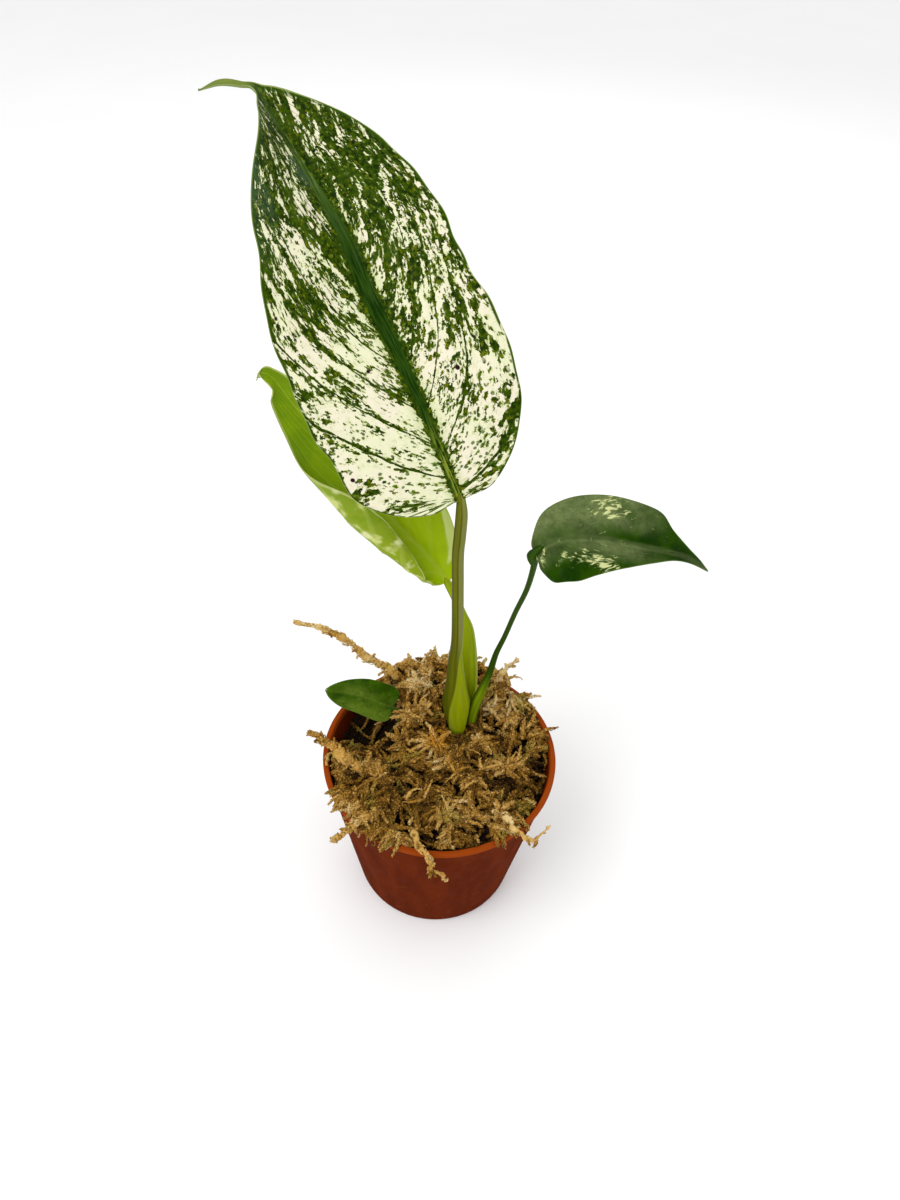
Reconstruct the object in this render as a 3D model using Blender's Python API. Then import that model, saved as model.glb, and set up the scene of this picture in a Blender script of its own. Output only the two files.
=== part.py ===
"""A young monstera with streaked leaves, rooted in moss in a small round nursery pot.

Lengths are metres and +Z is up. The origin is the centre of the pot's foot, +X is the side of
the low right-hand leaf, and -Y is the side that the big blade faces.
"""

import math
import random

import bmesh
import bpy
import numpy as np
from mathutils import Matrix, Vector, noise

# Pot
RIM_RADIUS = 0.035
POT_HEIGHT = 0.0565
FOOT_RADIUS = 0.0255
WALL = 0.0010
FLOOR = 0.0015
LIP_HEIGHT = 0.0014
LIP_OUT = 0.0006
LIP_EDGE = 0.0003
FOOT_EDGE = 0.0008
POT_SIDES = 64
DRAIN_RADIUS = 0.0019
DRAIN_CIRCLE = 0.0150
DRAINS = 6
DRAIN_SIDES = 16

# Clearance between two pieces that touch on the real plant
GAP = 0.0003
# What fills the pot has flat facets, so it stays this much further from the round wall.
FACET_CLEARANCE = 0.0002

# Potting mix and the stem that stands in it
MIX_TOP = 0.0440
MIX_SIDES = 48
STEM_FOOT = 0.0300
STEM_TOP = 0.0517
STEM_RADIUS = 0.0070
STEM_CENTRE = (0.0065, 0.0100)
STEM_SIDES = 24

# Moss bed. The grain is the size of one lump, the roughness how far the lumps stand out.
BED_SIDES = 52
BED_RINGS = 12
BED_LEVEL = POT_HEIGHT - 0.0006
BED_ROUGHNESS = 0.0030
BED_GRAIN = 0.0048
BED_EDGE = 0.0010
# Each swell of the bed: centre x, centre y, height, reach.
SWELLS = (
    (0.000, 0.025, 0.0085, 0.013),
    (0.018, 0.021, 0.0065, 0.010),
    (0.000, -0.008, 0.0020, 0.012),
    (-0.014, -0.016, 0.0020, 0.009),
    (-0.025, 0.011, -0.0080, 0.0065),
    (0.030, -0.003, -0.0060, 0.0050),
    (0.001, -0.013, -0.0030, 0.0040),
)
CURLS = 84
# No moss stem grows where the small leaf lies: centre x, centre y, reach.
UNDER_LEAF = (-0.0250, 0.0130, 0.0130)
# Each short moss stem: length, radius, and its slope, hook and sideways turn in radians.
CURL_SEED = 7
CURL_LENGTH = (0.0055, 0.0105)
CURL_RADIUS = (0.0006, 0.0012)
CURL_SLOPE = (0.75, 1.25)
CURL_HOOK = (0.9, 1.9)
CURL_TURN = (-1.3, 1.3)
CURL_ROOT = 0.0030
CURL_TIP = 0.35
CURL_SIDES = 4
CURL_RINGS = 4
# Outside this part of the bed's radius the short stems lean inward, clear of the rim.
CURL_INNER = 0.70
CURL_INWARD = 6.0

# Long loose moss stems: radius, then the points that each one runs through, from its root out.
# Each is thicker by the knot at every point, and tapers to its tip.
LOOSE_SIDES = 6
LOOSE_KNOT = 0.28
LOOSE_TIP = 0.35
LOOSE_STEMS = {
    "back_left": (
        0.0008,
        (
            (-0.0150, 0.0250, 0.0570),
            (-0.0190, 0.0275, 0.0625),
            (-0.0253, 0.0280, 0.0672),
            (-0.0328, 0.0280, 0.0747),
            (-0.0388, 0.0280, 0.0782),
            (-0.0462, 0.0280, 0.0800),
        ),
    ),
    "over_front_rim": (
        0.0011,
        (
            (-0.0062, -0.0265, 0.0545),
            (-0.0058, -0.0300, 0.0590),
            (-0.0040, -0.0345, 0.0600),
            (-0.0015, -0.0375, 0.0587),
            (-0.0006, -0.0380, 0.0545),
            (0.0025, -0.0375, 0.0505),
            (0.0040, -0.0370, 0.0480),
        ),
    ),
    "front_right_hook": (
        0.0010,
        (
            (0.0175, -0.0205, 0.0550),
            (0.0200, -0.0240, 0.0588),
            (0.0222, -0.0265, 0.0590),
            (0.0252, -0.0283, 0.0575),
            (0.0282, -0.0280, 0.0560),
            (0.0318, -0.0262, 0.0607),
        ),
    ),
    "left_tuft": (
        0.0013,
        (
            (-0.0215, -0.0090, 0.0550),
            (-0.0290, -0.0055, 0.0600),
            (-0.0350, -0.0015, 0.0612),
            (-0.0390, 0.0010, 0.0610),
        ),
    ),
    "front_left_clump": (
        0.0014,
        (
            (-0.0165, -0.0220, 0.0560),
            (-0.0195, -0.0258, 0.0598),
            (-0.0235, -0.0298, 0.0600),
            (-0.0268, -0.0318, 0.0578),
            (-0.0290, -0.0310, 0.0550),
        ),
    ),
    "back_right_stub": (
        0.0012,
        (
            (0.0150, 0.0215, 0.0580),
            (0.0180, 0.0220, 0.0690),
            (0.0225, 0.0220, 0.0755),
        ),
    ),
    "back_spike": (
        0.0007,
        (
            (-0.0040, 0.0220, 0.0590),
            (-0.0045, 0.0240, 0.0680),
            (-0.0060, 0.0235, 0.0745),
        ),
    ),
}

# Leafstalks, from the blade down: path, then half width and half depth along it.
STALK_SIDES = 12
STALK_STEPS = 18
BIG_STALK = (
    (0.0018, 0.0083, 0.1446),
    (0.0019, 0.0083, 0.1350),
    (0.0022, 0.0085, 0.1228),
    (0.0032, 0.0090, 0.0973),
    (0.0031, 0.0090, 0.0880),
    (0.0036, 0.0085, 0.0780),
    (0.0040, 0.0080, 0.0695),
    (0.0048, 0.0075, 0.0602),
    (0.0050, 0.0078, 0.0520),
)
BIG_STALK_WIDTH = (0.00165, 0.0018, 0.00175, 0.00175, 0.0021, 0.0030, 0.0041, 0.0027, 0.0018)
BIG_STALK_DEPTH = (0.00150, 0.0017, 0.00170, 0.00170, 0.0018, 0.0020, 0.0023, 0.0021, 0.0016)
YOUNG_STALK = (
    (-0.0002, 0.0202, 0.1068),
    (0.0022, 0.0186, 0.1025),
    (0.0045, 0.0170, 0.0981),
    (0.0062, 0.0157, 0.0937),
    (0.0072, 0.0146, 0.0865),
    (0.0077, 0.0140, 0.0792),
    (0.0080, 0.0136, 0.0700),
    (0.0078, 0.0134, 0.0610),
    (0.0074, 0.0130, 0.0520),
)
YOUNG_STALK_WIDTH = (0.0011, 0.0011, 0.0012, 0.0015, 0.0019, 0.0021, 0.0020, 0.0018, 0.0016)
YOUNG_STALK_DEPTH = (0.0011, 0.0011, 0.0012, 0.0014, 0.0017, 0.0018, 0.0018, 0.0016, 0.0014)
LOW_STALK = (
    (0.0203, -0.0019, 0.1373),
    (0.0203, -0.0020, 0.1357),
    (0.0198, -0.0010, 0.1276),
    (0.0180, 0.0020, 0.1142),
    (0.0164, 0.0045, 0.1031),
    (0.0141, 0.0065, 0.0931),
    (0.0127, 0.0080, 0.0850),
    (0.0120, 0.0090, 0.0775),
    (0.0116, 0.0096, 0.0640),
    (0.0114, 0.0098, 0.0520),
)
LOW_STALK_WIDTH = (0.0012, 0.0013, 0.0007, 0.00065, 0.0007, 0.0008, 0.0010, 0.0012, 0.0013, 0.0012)
LOW_STALK_DEPTH = LOW_STALK_WIDTH
SMALL_STALK = (
    (-0.0148, 0.0112, 0.0617),
    (-0.0110, 0.0110, 0.0602),
    (-0.0060, 0.0110, 0.0570),
    (-0.0010, 0.0108, 0.0544),
    (0.0015, 0.0105, 0.0529),
)
SMALL_STALK_WIDTH = (0.0008, 0.0007, 0.0007, 0.0008, 0.0009)
SMALL_STALK_DEPTH = SMALL_STALK_WIDTH

# Blades. The midrib is a path in space. A margin is (along, across) on the flat blade.
# The turn is how far the blade has rolled towards its upper face at each reach from the midrib.
BLADE = 0.0006
REACH = (0.0, 0.005, 0.010, 0.015, 0.020, 0.030)
# The midrib is a low ridge below the blade, of this depth and half width, and thins to the tip.
RIB = 0.0013
RIB_REACH = 0.0012
RIB_FADE = 0.8
# The facets follow the side veins: fractions of the way out along a vein, how far a vein runs
# forward for each metre out, how strongly it curves, and how much closer the veins are at the tip.
COLUMNS = (0.0, 0.07, 0.20, 0.40, 0.60, 0.80, 1.0)
SWEEP = 0.8
VEIN_CURVE = 0.35
TIP_CROWDING = 1.25
# At the leaf's base the veins fan out straight, never less than a step apart, and they reach
# their full curve this far along the midrib.
VEIN_EASE = 0.003
VEIN_STEP = 0.0004
VEIN_FAN = 0.012
# The blade's direction is averaged over this much of the midrib on each side.
BEND_SPREAD = 0.006
BEND_STEPS = 12
PATH_STEPS = 400

BIG_LEAF = {
    "midrib": (
        (0.0017, 0.0080, 0.1457),
        (-0.0057, 0.0130, 0.1617),
        (-0.0131, 0.0190, 0.1753),
        (-0.0208, 0.0260, 0.1870),
        (-0.0277, 0.0340, 0.1978),
        (-0.0350, 0.0420, 0.2054),
        (-0.0425, 0.0500, 0.2131),
        (-0.0483, 0.0570, 0.2190),
        (-0.0523, 0.0580, 0.2197),
        (-0.0572, 0.0580, 0.2197),
        (-0.0616, 0.0570, 0.2184),
    ),
    "face": ((0.10, -0.95, 0.35), (0.12, -0.90, 0.45), (0.15, -0.80, 0.60), (0.10, -0.72, 0.68)),
    "fold": (4, 9, 12, 18, 30, 20),
    "twist": (-8, -8, 0, 16, 36, 36),
    "turn_left": (0, -2, -6, -10, -14, -18),
    "turn_right": (0, -2, -6, -10, -14, -18),
    "rolled": (1, 1),
    "left": (
        (0.0, 0.0), (0.0001, 0.0022), (-0.0012, 0.0080), (0.0020, 0.0175), (0.0090, 0.0242),
        (0.0200, 0.0252), (0.0255, 0.0262), (0.0330, 0.0257), (0.0480, 0.0243), (0.0640, 0.0211),
        (0.0800, 0.0163), (0.0920, 0.0087), (0.1000, 0.0030), (0.1045, 0.0012), (0.1110, 0.0010),
        (0.1171, 0.0),
    ),
    "right": (
        (0.0, 0.0), (0.0001, 0.0022), (0.0015, 0.0092), (0.0080, 0.0162), (0.0180, 0.0219),
        (0.0320, 0.0240), (0.0460, 0.0226), (0.0620, 0.0227), (0.0760, 0.0207), (0.0880, 0.0168),
        (0.0960, 0.0113), (0.1010, 0.0040), (0.1045, 0.0012), (0.1110, 0.0010), (0.1171, 0.0),
    ),
    "rows": 30,
}
YOUNG_LEAF = {
    "midrib": (
        (-0.0003, 0.0200, 0.1077),
        (-0.0070, 0.0240, 0.1147),
        (-0.0203, 0.0285, 0.1272),
        (-0.0323, 0.0315, 0.1412),
        (-0.0422, 0.0335, 0.1543),
        (-0.0472, 0.0345, 0.1615),
        (-0.0497, 0.0345, 0.1625),
    ),
    "face": ((0.10, -0.92, 0.40), (0.12, -0.90, 0.42), (0.12, -0.85, 0.45)),
    "fold": (6, 6, 4, 0),
    "twist": (0, 0, 0),
    "turn_left": (0, 30, 95, 165, 225, 250),
    "turn_right": (0, 6, 16, 28, 40, 50),
    "rolled": (1, 1, 1),
    "left": (
        (0.0, 0.0), (0.0006, 0.0016), (0.0060, 0.0050), (0.0125, 0.0105), (0.0200, 0.0160),
        (0.0290, 0.0180), (0.0390, 0.0165), (0.0480, 0.0125), (0.0560, 0.0075), (0.0640, 0.0048),
        (0.0710, 0.0024), (0.0757, 0.0),
    ),
    "right": (
        (0.0, 0.0), (0.0002, 0.0016), (0.0012, 0.0050), (0.0080, 0.0098), (0.0170, 0.0145),
        (0.0280, 0.0165), (0.0400, 0.0150), (0.0520, 0.0118), (0.0610, 0.0085), (0.0690, 0.0050),
        (0.0757, 0.0),
    ),
    "rows": 20,
}
LOW_LEAF = {
    "midrib": (
        (0.0203, -0.0020, 0.1389),
        (0.0236, -0.0020, 0.1423),
        (0.0281, -0.0010, 0.1430),
        (0.0332, 0.0000, 0.1425),
        (0.0382, 0.0010, 0.1414),
        (0.0434, 0.0020, 0.1397),
        (0.0489, 0.0030, 0.1379),
        (0.0544, 0.0045, 0.1356),
        (0.0599, 0.0065, 0.1321),
        (0.0659, 0.0090, 0.1266),
    ),
    "face": ((0.0, -0.55, 0.83), (0.0, -0.50, 0.85), (0.1, -0.45, 0.85), (0.3, -0.40, 0.80)),
    "fold": (8, 10, 14, 20),
    "twist": (0, 0),
    "turn_left": (0, -4, -12, -22, -30, -40),
    "turn_right": (0, -4, -12, -22, -30, -40),
    "rolled": (1, 1),
    "left": (
        (0.0, 0.0), (0.0004, 0.0016), (0.0030, 0.0032), (0.0071, 0.0066), (0.0130, 0.0097),
        (0.0200, 0.0111), (0.0280, 0.0108), (0.0335, 0.0094), (0.0372, 0.0056), (0.0430, 0.0025),
        (0.0490, 0.0011), (0.0532, 0.0),
    ),
    "right": (
        (0.0, 0.0), (0.0001, 0.0019), (-0.0006, 0.0042), (0.0018, 0.0088), (0.0085, 0.0106),
        (0.0150, 0.0092), (0.0230, 0.0067), (0.0310, 0.0040), (0.0380, 0.0020), (0.0460, 0.0010),
        (0.0532, 0.0),
    ),
    "rows": 18,
}
SMALL_LEAF = {
    "midrib": (
        (-0.0154, 0.0113, 0.0622),
        (-0.0196, 0.0113, 0.0640),
        (-0.0246, 0.0125, 0.0650),
        (-0.0300, 0.0141, 0.0645),
        (-0.0356, 0.0162, 0.0630),
    ),
    "face": ((0.0, -0.45, 0.90), (0.0, -0.45, 0.90)),
    "fold": (8, 10),
    "twist": (0, 0),
    "turn_left": (0, -8, -20, -30, -40, -50),
    "turn_right": (0, -8, -20, -30, -40, -50),
    "rolled": (1, 1),
    "left": (
        (0.0, 0.0), (-0.0002, 0.0016), (-0.0008, 0.0036), (0.0030, 0.0045), (0.0090, 0.0045),
        (0.0150, 0.0040), (0.0190, 0.0022), (0.0218, 0.0),
    ),
    "right": (
        (0.0, 0.0), (0.0002, 0.0018), (0.0020, 0.0042), (0.0060, 0.0054), (0.0110, 0.0053),
        (0.0160, 0.0036), (0.0195, 0.0018), (0.0218, 0.0),
    ),
    "rows": 10,
}

# Colours of the materials: red, green, blue, roughness.
LOOKS = {
    "terracotta_plastic": (0.42, 0.085, 0.022, 0.42),
    "potting_mix": (0.030, 0.020, 0.014, 0.95),
    "dry_moss": (0.43, 0.29, 0.12, 0.90),
    "stem_green": (0.20, 0.24, 0.05, 0.50),
    "big_stalk_green": (0.16, 0.19, 0.03, 0.38),
    "young_stalk_green": (0.26, 0.36, 0.03, 0.35),
    "low_stalk_green": (0.05, 0.11, 0.02, 0.40),
    "streaked_blade": (0.52, 0.55, 0.33, 0.33),
    "lime_blade": (0.32, 0.48, 0.05, 0.38),
    "dark_blade": (0.07, 0.15, 0.04, 0.30),
    "small_blade": (0.05, 0.16, 0.02, 0.35),
}


def clear_scene():
    for item in list(bpy.data.objects):
        bpy.data.objects.remove(item, do_unlink=True)


def material(name):
    made = bpy.data.materials.new(name)
    made.use_nodes = True
    shader = made.node_tree.nodes["Principled BSDF"]
    red, green, blue, roughness = LOOKS[name]
    shader.inputs["Base Color"].default_value = (red, green, blue, 1.0)
    shader.inputs["Roughness"].default_value = roughness
    shader.inputs["Metallic"].default_value = 0.0
    made.diffuse_color = (red, green, blue, 1.0)
    return made


def add_object(name, points, faces, look=None):
    mesh = bpy.data.meshes.new(name)
    mesh.from_pydata([tuple(point) for point in points], [], faces)
    shell = bmesh.new()
    shell.from_mesh(mesh)
    bmesh.ops.recalc_face_normals(shell, faces=shell.faces)
    shell.to_mesh(mesh)
    shell.free()
    mesh.shade_smooth()
    item = bpy.data.objects.new(name, mesh)
    bpy.context.scene.collection.objects.link(item)
    if look:
        mesh.materials.append(material(look))
    return item


def smooth_path(points, places):
    """The smooth curve through the points (Catmull-Rom), read at places from 0 to 1."""
    known = np.asarray(points, float)
    known = np.vstack([2 * known[0] - known[1], known, 2 * known[-1] - known[-2]])
    spans = len(known) - 3
    at = np.clip(np.asarray(places, float), 0, 1) * spans
    first = np.minimum(at.astype(int), spans - 1)
    part = (at - first)[:, None]
    before, start, end, after = (known[first + step] for step in range(4))
    return 0.5 * (
        2 * start
        + (end - before) * part
        + (2 * before - 5 * start + 4 * end - after) * part**2
        + (3 * start - before - 3 * end + after) * part**3
    )


def unit(rows):
    return rows / np.linalg.norm(rows, axis=-1, keepdims=True)


def loft(rings, tip=False):
    """Points and faces of a closed skin over rings of equal size. A tip ends it in a point."""
    sides = len(rings[0])
    points = [tuple(point) for ring in rings for point in ring]
    faces = []
    for row in range(len(rings) - 1):
        for side in range(sides):
            after = (side + 1) % sides
            low = row * sides
            high = low + sides
            faces.append((low + side, low + after, high + after, high + side))
    faces.append(tuple(reversed(range(sides))))
    last = (len(rings) - 1) * sides
    if tip:
        points.append(tuple(np.mean(rings[-1], axis=0) * 2 - np.mean(rings[-2], axis=0)))
        for side in range(sides):
            faces.append((last + side, last + (side + 1) % sides, len(points) - 1))
    else:
        faces.append(tuple(range(last, last + sides)))
    return points, faces


def rings_along(path, widths, depths, sides, across=(1.0, 0.0, 0.0)):
    """Elliptic rings square to a path. Width runs along the across direction."""
    forward = unit(np.gradient(path, axis=0))
    side = np.asarray(across, float) - (forward @ np.asarray(across, float))[:, None] * forward
    side = unit(side)
    third = np.cross(forward, side)
    angles = np.arange(sides) * 2 * math.pi / sides
    rings = []
    for row in range(len(path)):
        ring = (
            path[row]
            + np.cos(angles)[:, None] * widths[row] * side[row]
            + np.sin(angles)[:, None] * depths[row] * third[row]
        )
        rings.append(ring)
    return rings


def stalk_rings(path, widths, depths, grow=0.0):
    places = np.linspace(0, 1, STALK_STEPS)
    known = np.linspace(0, 1, len(widths))
    wide = np.interp(places, known, widths) + grow
    deep = np.interp(places, known, depths) + grow
    return rings_along(smooth_path(path, places), wide, deep, STALK_SIDES)


def stalk(name, path, widths, depths, look):
    points, faces = loft(stalk_rings(path, widths, depths))
    return add_object(name, points, faces, look)


def stalk_cutter(name, path, widths, depths):
    """The stalk's own shape, wider all round by the gap and longer at both ends."""
    known = np.asarray(path, float)
    known[0] += 2 * GAP * unit(known[0] - known[1])
    known[-1] += 2 * GAP * unit(known[-1] - known[-2])
    points, faces = loft(stalk_rings(known, widths, depths, GAP))
    return cutter(add_object(name, points, faces))


def cutter(item):
    item.hide_render = True
    item.display_type = "WIRE"
    return item


def boolean(item, other, operation="DIFFERENCE"):
    step = item.modifiers.new(other.name, "BOOLEAN")
    step.operation = operation
    step.solver = "EXACT"
    step.object = other
    return step


def turned(name, profile, sides, look):
    """A closed solid of revolution about Z. The profile goes round one half section."""
    shell = bmesh.new()
    corners = [shell.verts.new((radius, 0.0, height)) for radius, height in profile]
    edges = [shell.edges.new(pair) for pair in zip(corners, corners[1:] + corners[:1])]
    bmesh.ops.spin(
        shell,
        geom=corners + edges,
        axis=(0, 0, 1),
        cent=(0, 0, 0),
        steps=sides,
        angle=2 * math.pi,
        use_merge=True,
    )
    bmesh.ops.remove_doubles(shell, verts=shell.verts, dist=1e-6)
    bmesh.ops.dissolve_degenerate(shell, edges=shell.edges, dist=1e-6)
    bmesh.ops.recalc_face_normals(shell, faces=shell.faces)
    mesh = bpy.data.meshes.new(name)
    shell.to_mesh(mesh)
    shell.free()
    mesh.shade_smooth()
    mesh.set_sharp_from_angle(angle=math.radians(35))
    item = bpy.data.objects.new(name, mesh)
    bpy.context.scene.collection.objects.link(item)
    mesh.materials.append(material(look))
    return item


def cylinder(name, radius, low, high, centre, sides):
    shell = bmesh.new()
    place = Matrix.Translation((centre[0], centre[1], (low + high) / 2))
    bmesh.ops.create_cone(
        shell,
        cap_ends=True,
        segments=sides,
        radius1=radius,
        radius2=radius,
        depth=high - low,
        matrix=place,
    )
    mesh = bpy.data.meshes.new(name)
    shell.to_mesh(mesh)
    shell.free()
    item = bpy.data.objects.new(name, mesh)
    bpy.context.scene.collection.objects.link(item)
    return item


def outer_radius(height):
    """The outside of the pot's plain wall at a height."""
    return FOOT_RADIUS + (RIM_RADIUS - LIP_OUT - FOOT_RADIUS) * height / POT_HEIGHT


def build_pot():
    wall_top = POT_HEIGHT - LIP_HEIGHT
    profile = (
        (0.0, 0.0),
        (FOOT_RADIUS - FOOT_EDGE, 0.0),
        (FOOT_RADIUS, FOOT_EDGE),
        (outer_radius(wall_top - LIP_OUT), wall_top - LIP_OUT),
        (RIM_RADIUS, wall_top),
        (RIM_RADIUS, POT_HEIGHT - LIP_EDGE),
        (RIM_RADIUS - LIP_EDGE, POT_HEIGHT),
        (outer_radius(POT_HEIGHT) - WALL + LIP_EDGE, POT_HEIGHT),
        (outer_radius(POT_HEIGHT) - WALL, POT_HEIGHT - LIP_EDGE),
        (outer_radius(FLOOR) - WALL, FLOOR),
        (0.0, FLOOR),
    )
    pot = turned("pot", profile, POT_SIDES, "terracotta_plastic")
    for number in range(DRAINS):
        angle = 2 * math.pi * number / DRAINS
        centre = (DRAIN_CIRCLE * math.cos(angle), DRAIN_CIRCLE * math.sin(angle))
        hole = cylinder(f"drain_{number}", DRAIN_RADIUS, -FLOOR, 2 * FLOOR, centre, DRAIN_SIDES)
        boolean(pot, cutter(hole))
    return pot


def inner_radius(height):
    """What fills the pot stays this far from its axis at a height."""
    return outer_radius(height) - WALL - GAP


def build_mix():
    low = FLOOR + GAP
    profile = (
        (0.0, low),
        (inner_radius(low) - FACET_CLEARANCE, low),
        (inner_radius(MIX_TOP), MIX_TOP),
        (0.0, MIX_TOP),
    )
    mix = turned("potting_mix", profile, MIX_SIDES, "potting_mix")
    reach = STEM_RADIUS + GAP
    hole = cylinder("stem_hole", reach, STEM_FOOT - GAP, POT_HEIGHT, STEM_CENTRE, STEM_SIDES)
    boolean(mix, cutter(hole))
    return mix


def build_stem():
    stem = cylinder("stem", STEM_RADIUS, STEM_FOOT, STEM_TOP, STEM_CENTRE, STEM_SIDES)
    stem.data.materials.append(material("stem_green"))
    stem.data.shade_smooth()
    stem.data.set_sharp_from_angle(angle=math.radians(40))
    return stem


def bed_height(x, y):
    """The top of the moss: swells and hollows, with a lumpy grain over them."""
    height = BED_LEVEL
    for centre_x, centre_y, rise, reach in SWELLS:
        away = ((x - centre_x) ** 2 + (y - centre_y) ** 2) / reach**2
        height += rise * math.exp(-away)
    lumps = noise.noise(Vector((x, y, BED_LEVEL)) / BED_GRAIN)
    return height + BED_ROUGHNESS * lumps


def bed_mesh():
    """A disc of rings with the lumpy top, closed below by a flat floor over the potting mix."""
    floor = MIX_TOP + GAP
    wide = inner_radius(POT_HEIGHT) - FACET_CLEARANCE
    narrow = inner_radius(floor) - FACET_CLEARANCE
    points = [(0.0, 0.0, bed_height(0.0, 0.0))]
    for ring in range(1, BED_RINGS + 1):
        radius = wide * ring / BED_RINGS
        for side in range(BED_SIDES):
            angle = 2 * math.pi * (side + 0.5 * (ring % 2)) / BED_SIDES
            x = radius * math.cos(angle)
            y = radius * math.sin(angle)
            height = bed_height(x, y)
            if ring == BED_RINGS:
                height = min(height, POT_HEIGHT) - BED_EDGE
                inward = (inner_radius(height) - FACET_CLEARANCE) / radius
                x *= inward
                y *= inward
            points.append((x, y, height))
    for side in range(BED_SIDES):
        angle = 2 * math.pi * (side + 0.5 * (BED_RINGS % 2)) / BED_SIDES
        points.append((narrow * math.cos(angle), narrow * math.sin(angle), floor))
    points.append((0.0, 0.0, floor))
    faces = []
    for side in range(BED_SIDES):
        after = (side + 1) % BED_SIDES
        faces.append((0, 1 + side, 1 + after))
        for ring in range(BED_RINGS):
            low = 1 + ring * BED_SIDES
            high = low + BED_SIDES
            if ring % 2 == 0 or ring == BED_RINGS - 1:
                faces.append((low + side, high + side, low + after))
                faces.append((high + side, high + after, low + after))
            else:
                faces.append((low + side, high + side, high + after))
                faces.append((low + side, high + after, low + after))
        under = 1 + BED_RINGS * BED_SIDES
        faces.append((under + after, under + side, len(points) - 1))
    return points, faces


def curl_root(rng):
    """A random place on the bed, clear of the small leaf."""
    reach = inner_radius(POT_HEIGHT) - CURL_ROOT
    centre_x, centre_y, clear = UNDER_LEAF
    while True:
        radius = reach * math.sqrt(rng.uniform(0.0, 1.0))
        angle = rng.uniform(0, 2 * math.pi)
        x = radius * math.cos(angle)
        y = radius * math.sin(angle)
        if math.hypot(x - centre_x, y - centre_y) > clear:
            return x, y


def curl(rng, x, y):
    """One moss stem as tapering rings: it rises from the bed, leans and hooks over."""
    reach = inner_radius(POT_HEIGHT) - CURL_ROOT
    lean = rng.uniform(0, 2 * math.pi)
    inward = max(0.0, math.hypot(x, y) / reach - CURL_INNER) * CURL_INWARD
    heading = Vector((math.cos(lean), math.sin(lean), 0)) - inward * Vector((x, y, 0)) / reach
    heading.normalize()
    across = (-heading.y, heading.x, 0.0)
    stride = (rng.uniform(*CURL_LENGTH) + CURL_ROOT) / CURL_RINGS
    thick = rng.uniform(*CURL_RADIUS)
    slope = rng.uniform(*CURL_SLOPE)
    hook = rng.uniform(*CURL_HOOK) / CURL_RINGS
    turn = Matrix.Rotation(rng.uniform(*CURL_TURN) / CURL_RINGS, 3, "Z")
    at = Vector((x, y, bed_height(x, y) - CURL_ROOT))
    path = []
    widths = []
    for step in range(CURL_RINGS):
        path.append(tuple(at))
        widths.append(thick * (1 - (1 - CURL_TIP) * step / (CURL_RINGS - 1)))
        at = at + stride * (heading * math.cos(slope) + Vector((0, 0, math.sin(slope))))
        slope -= hook
        heading = turn @ heading
    return loft(rings_along(np.array(path), widths, widths, CURL_SIDES, across), tip=True)


def loose_stem(radius, path):
    spans = len(path) - 1
    places = np.linspace(0, 1, 3 * spans + 1)
    line = smooth_path(path, places)
    knots = 1 + LOOSE_KNOT * np.cos(places * spans * 2 * math.pi)
    widths = radius * knots * (1 - (1 - LOOSE_TIP) * places)
    across = np.cross(unit(line[-1] - line[0]), (0.0, 0.0, 1.0))
    return loft(rings_along(line, widths, widths, LOOSE_SIDES, across), tip=True)


def build_moss():
    """The bed and its stems joined into one body, with plain holes for the plant."""
    bed = add_object("moss", *bed_mesh(), "dry_moss")
    growth = bpy.data.collections.new("moss growth")
    bpy.context.scene.collection.children.link(growth)
    rng = random.Random(CURL_SEED)
    shapes = [curl(rng, *curl_root(rng)) for _ in range(CURLS)]
    shapes += [loose_stem(radius, path) for radius, path in LOOSE_STEMS.values()]
    for points, faces in shapes:
        piece = add_object("moss stem", points, faces)
        bpy.context.scene.collection.objects.unlink(piece)
        growth.objects.link(piece)
    step = bed.modifiers.new("growth", "BOOLEAN")
    step.operation = "UNION"
    step.solver = "EXACT"
    step.operand_type = "COLLECTION"
    step.collection = growth
    crown = (STEM_RADIUS + GAP, MIX_TOP - GAP, STEM_TOP + GAP)
    holes = [
        stalk_cutter("big_stalk_hole", BIG_STALK, BIG_STALK_WIDTH, BIG_STALK_DEPTH),
        stalk_cutter("young_stalk_hole", YOUNG_STALK, YOUNG_STALK_WIDTH, YOUNG_STALK_DEPTH),
        stalk_cutter("low_stalk_hole", LOW_STALK, LOW_STALK_WIDTH, LOW_STALK_DEPTH),
        stalk_cutter("small_stalk_hole", SMALL_STALK, SMALL_STALK_WIDTH, SMALL_STALK_DEPTH),
        cutter(cylinder("crown_hole", *crown, STEM_CENTRE, STEM_SIDES)),
    ]
    for hole in holes:
        boolean(bed, hole)
    apply_modifiers(bed)
    keep_largest(bed.data)
    for item in list(growth.objects) + holes:
        bpy.data.objects.remove(item, do_unlink=True)
    bpy.data.collections.remove(growth)
    return bed


def apply_modifiers(item):
    bpy.context.view_layer.update()
    graph = bpy.context.evaluated_depsgraph_get()
    mesh = bpy.data.meshes.new_from_object(item.evaluated_get(graph))
    item.modifiers.clear()
    item.data = mesh


def keep_largest(mesh):
    """Removes the small bits that the holes have cut off the main body."""
    shell = bmesh.new()
    shell.from_mesh(mesh)
    left = set(shell.verts)
    bodies = []
    while left:
        body = set()
        front = [left.pop()]
        while front:
            corner = front.pop()
            body.add(corner)
            for edge in corner.link_edges:
                other = edge.other_vert(corner)
                if other in left:
                    left.remove(other)
                    front.append(other)
        bodies.append(body)
    bodies.sort(key=len)
    for body in bodies[:-1]:
        bmesh.ops.delete(shell, geom=list(body), context="VERTS")
    shell.to_mesh(mesh)
    shell.free()


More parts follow.
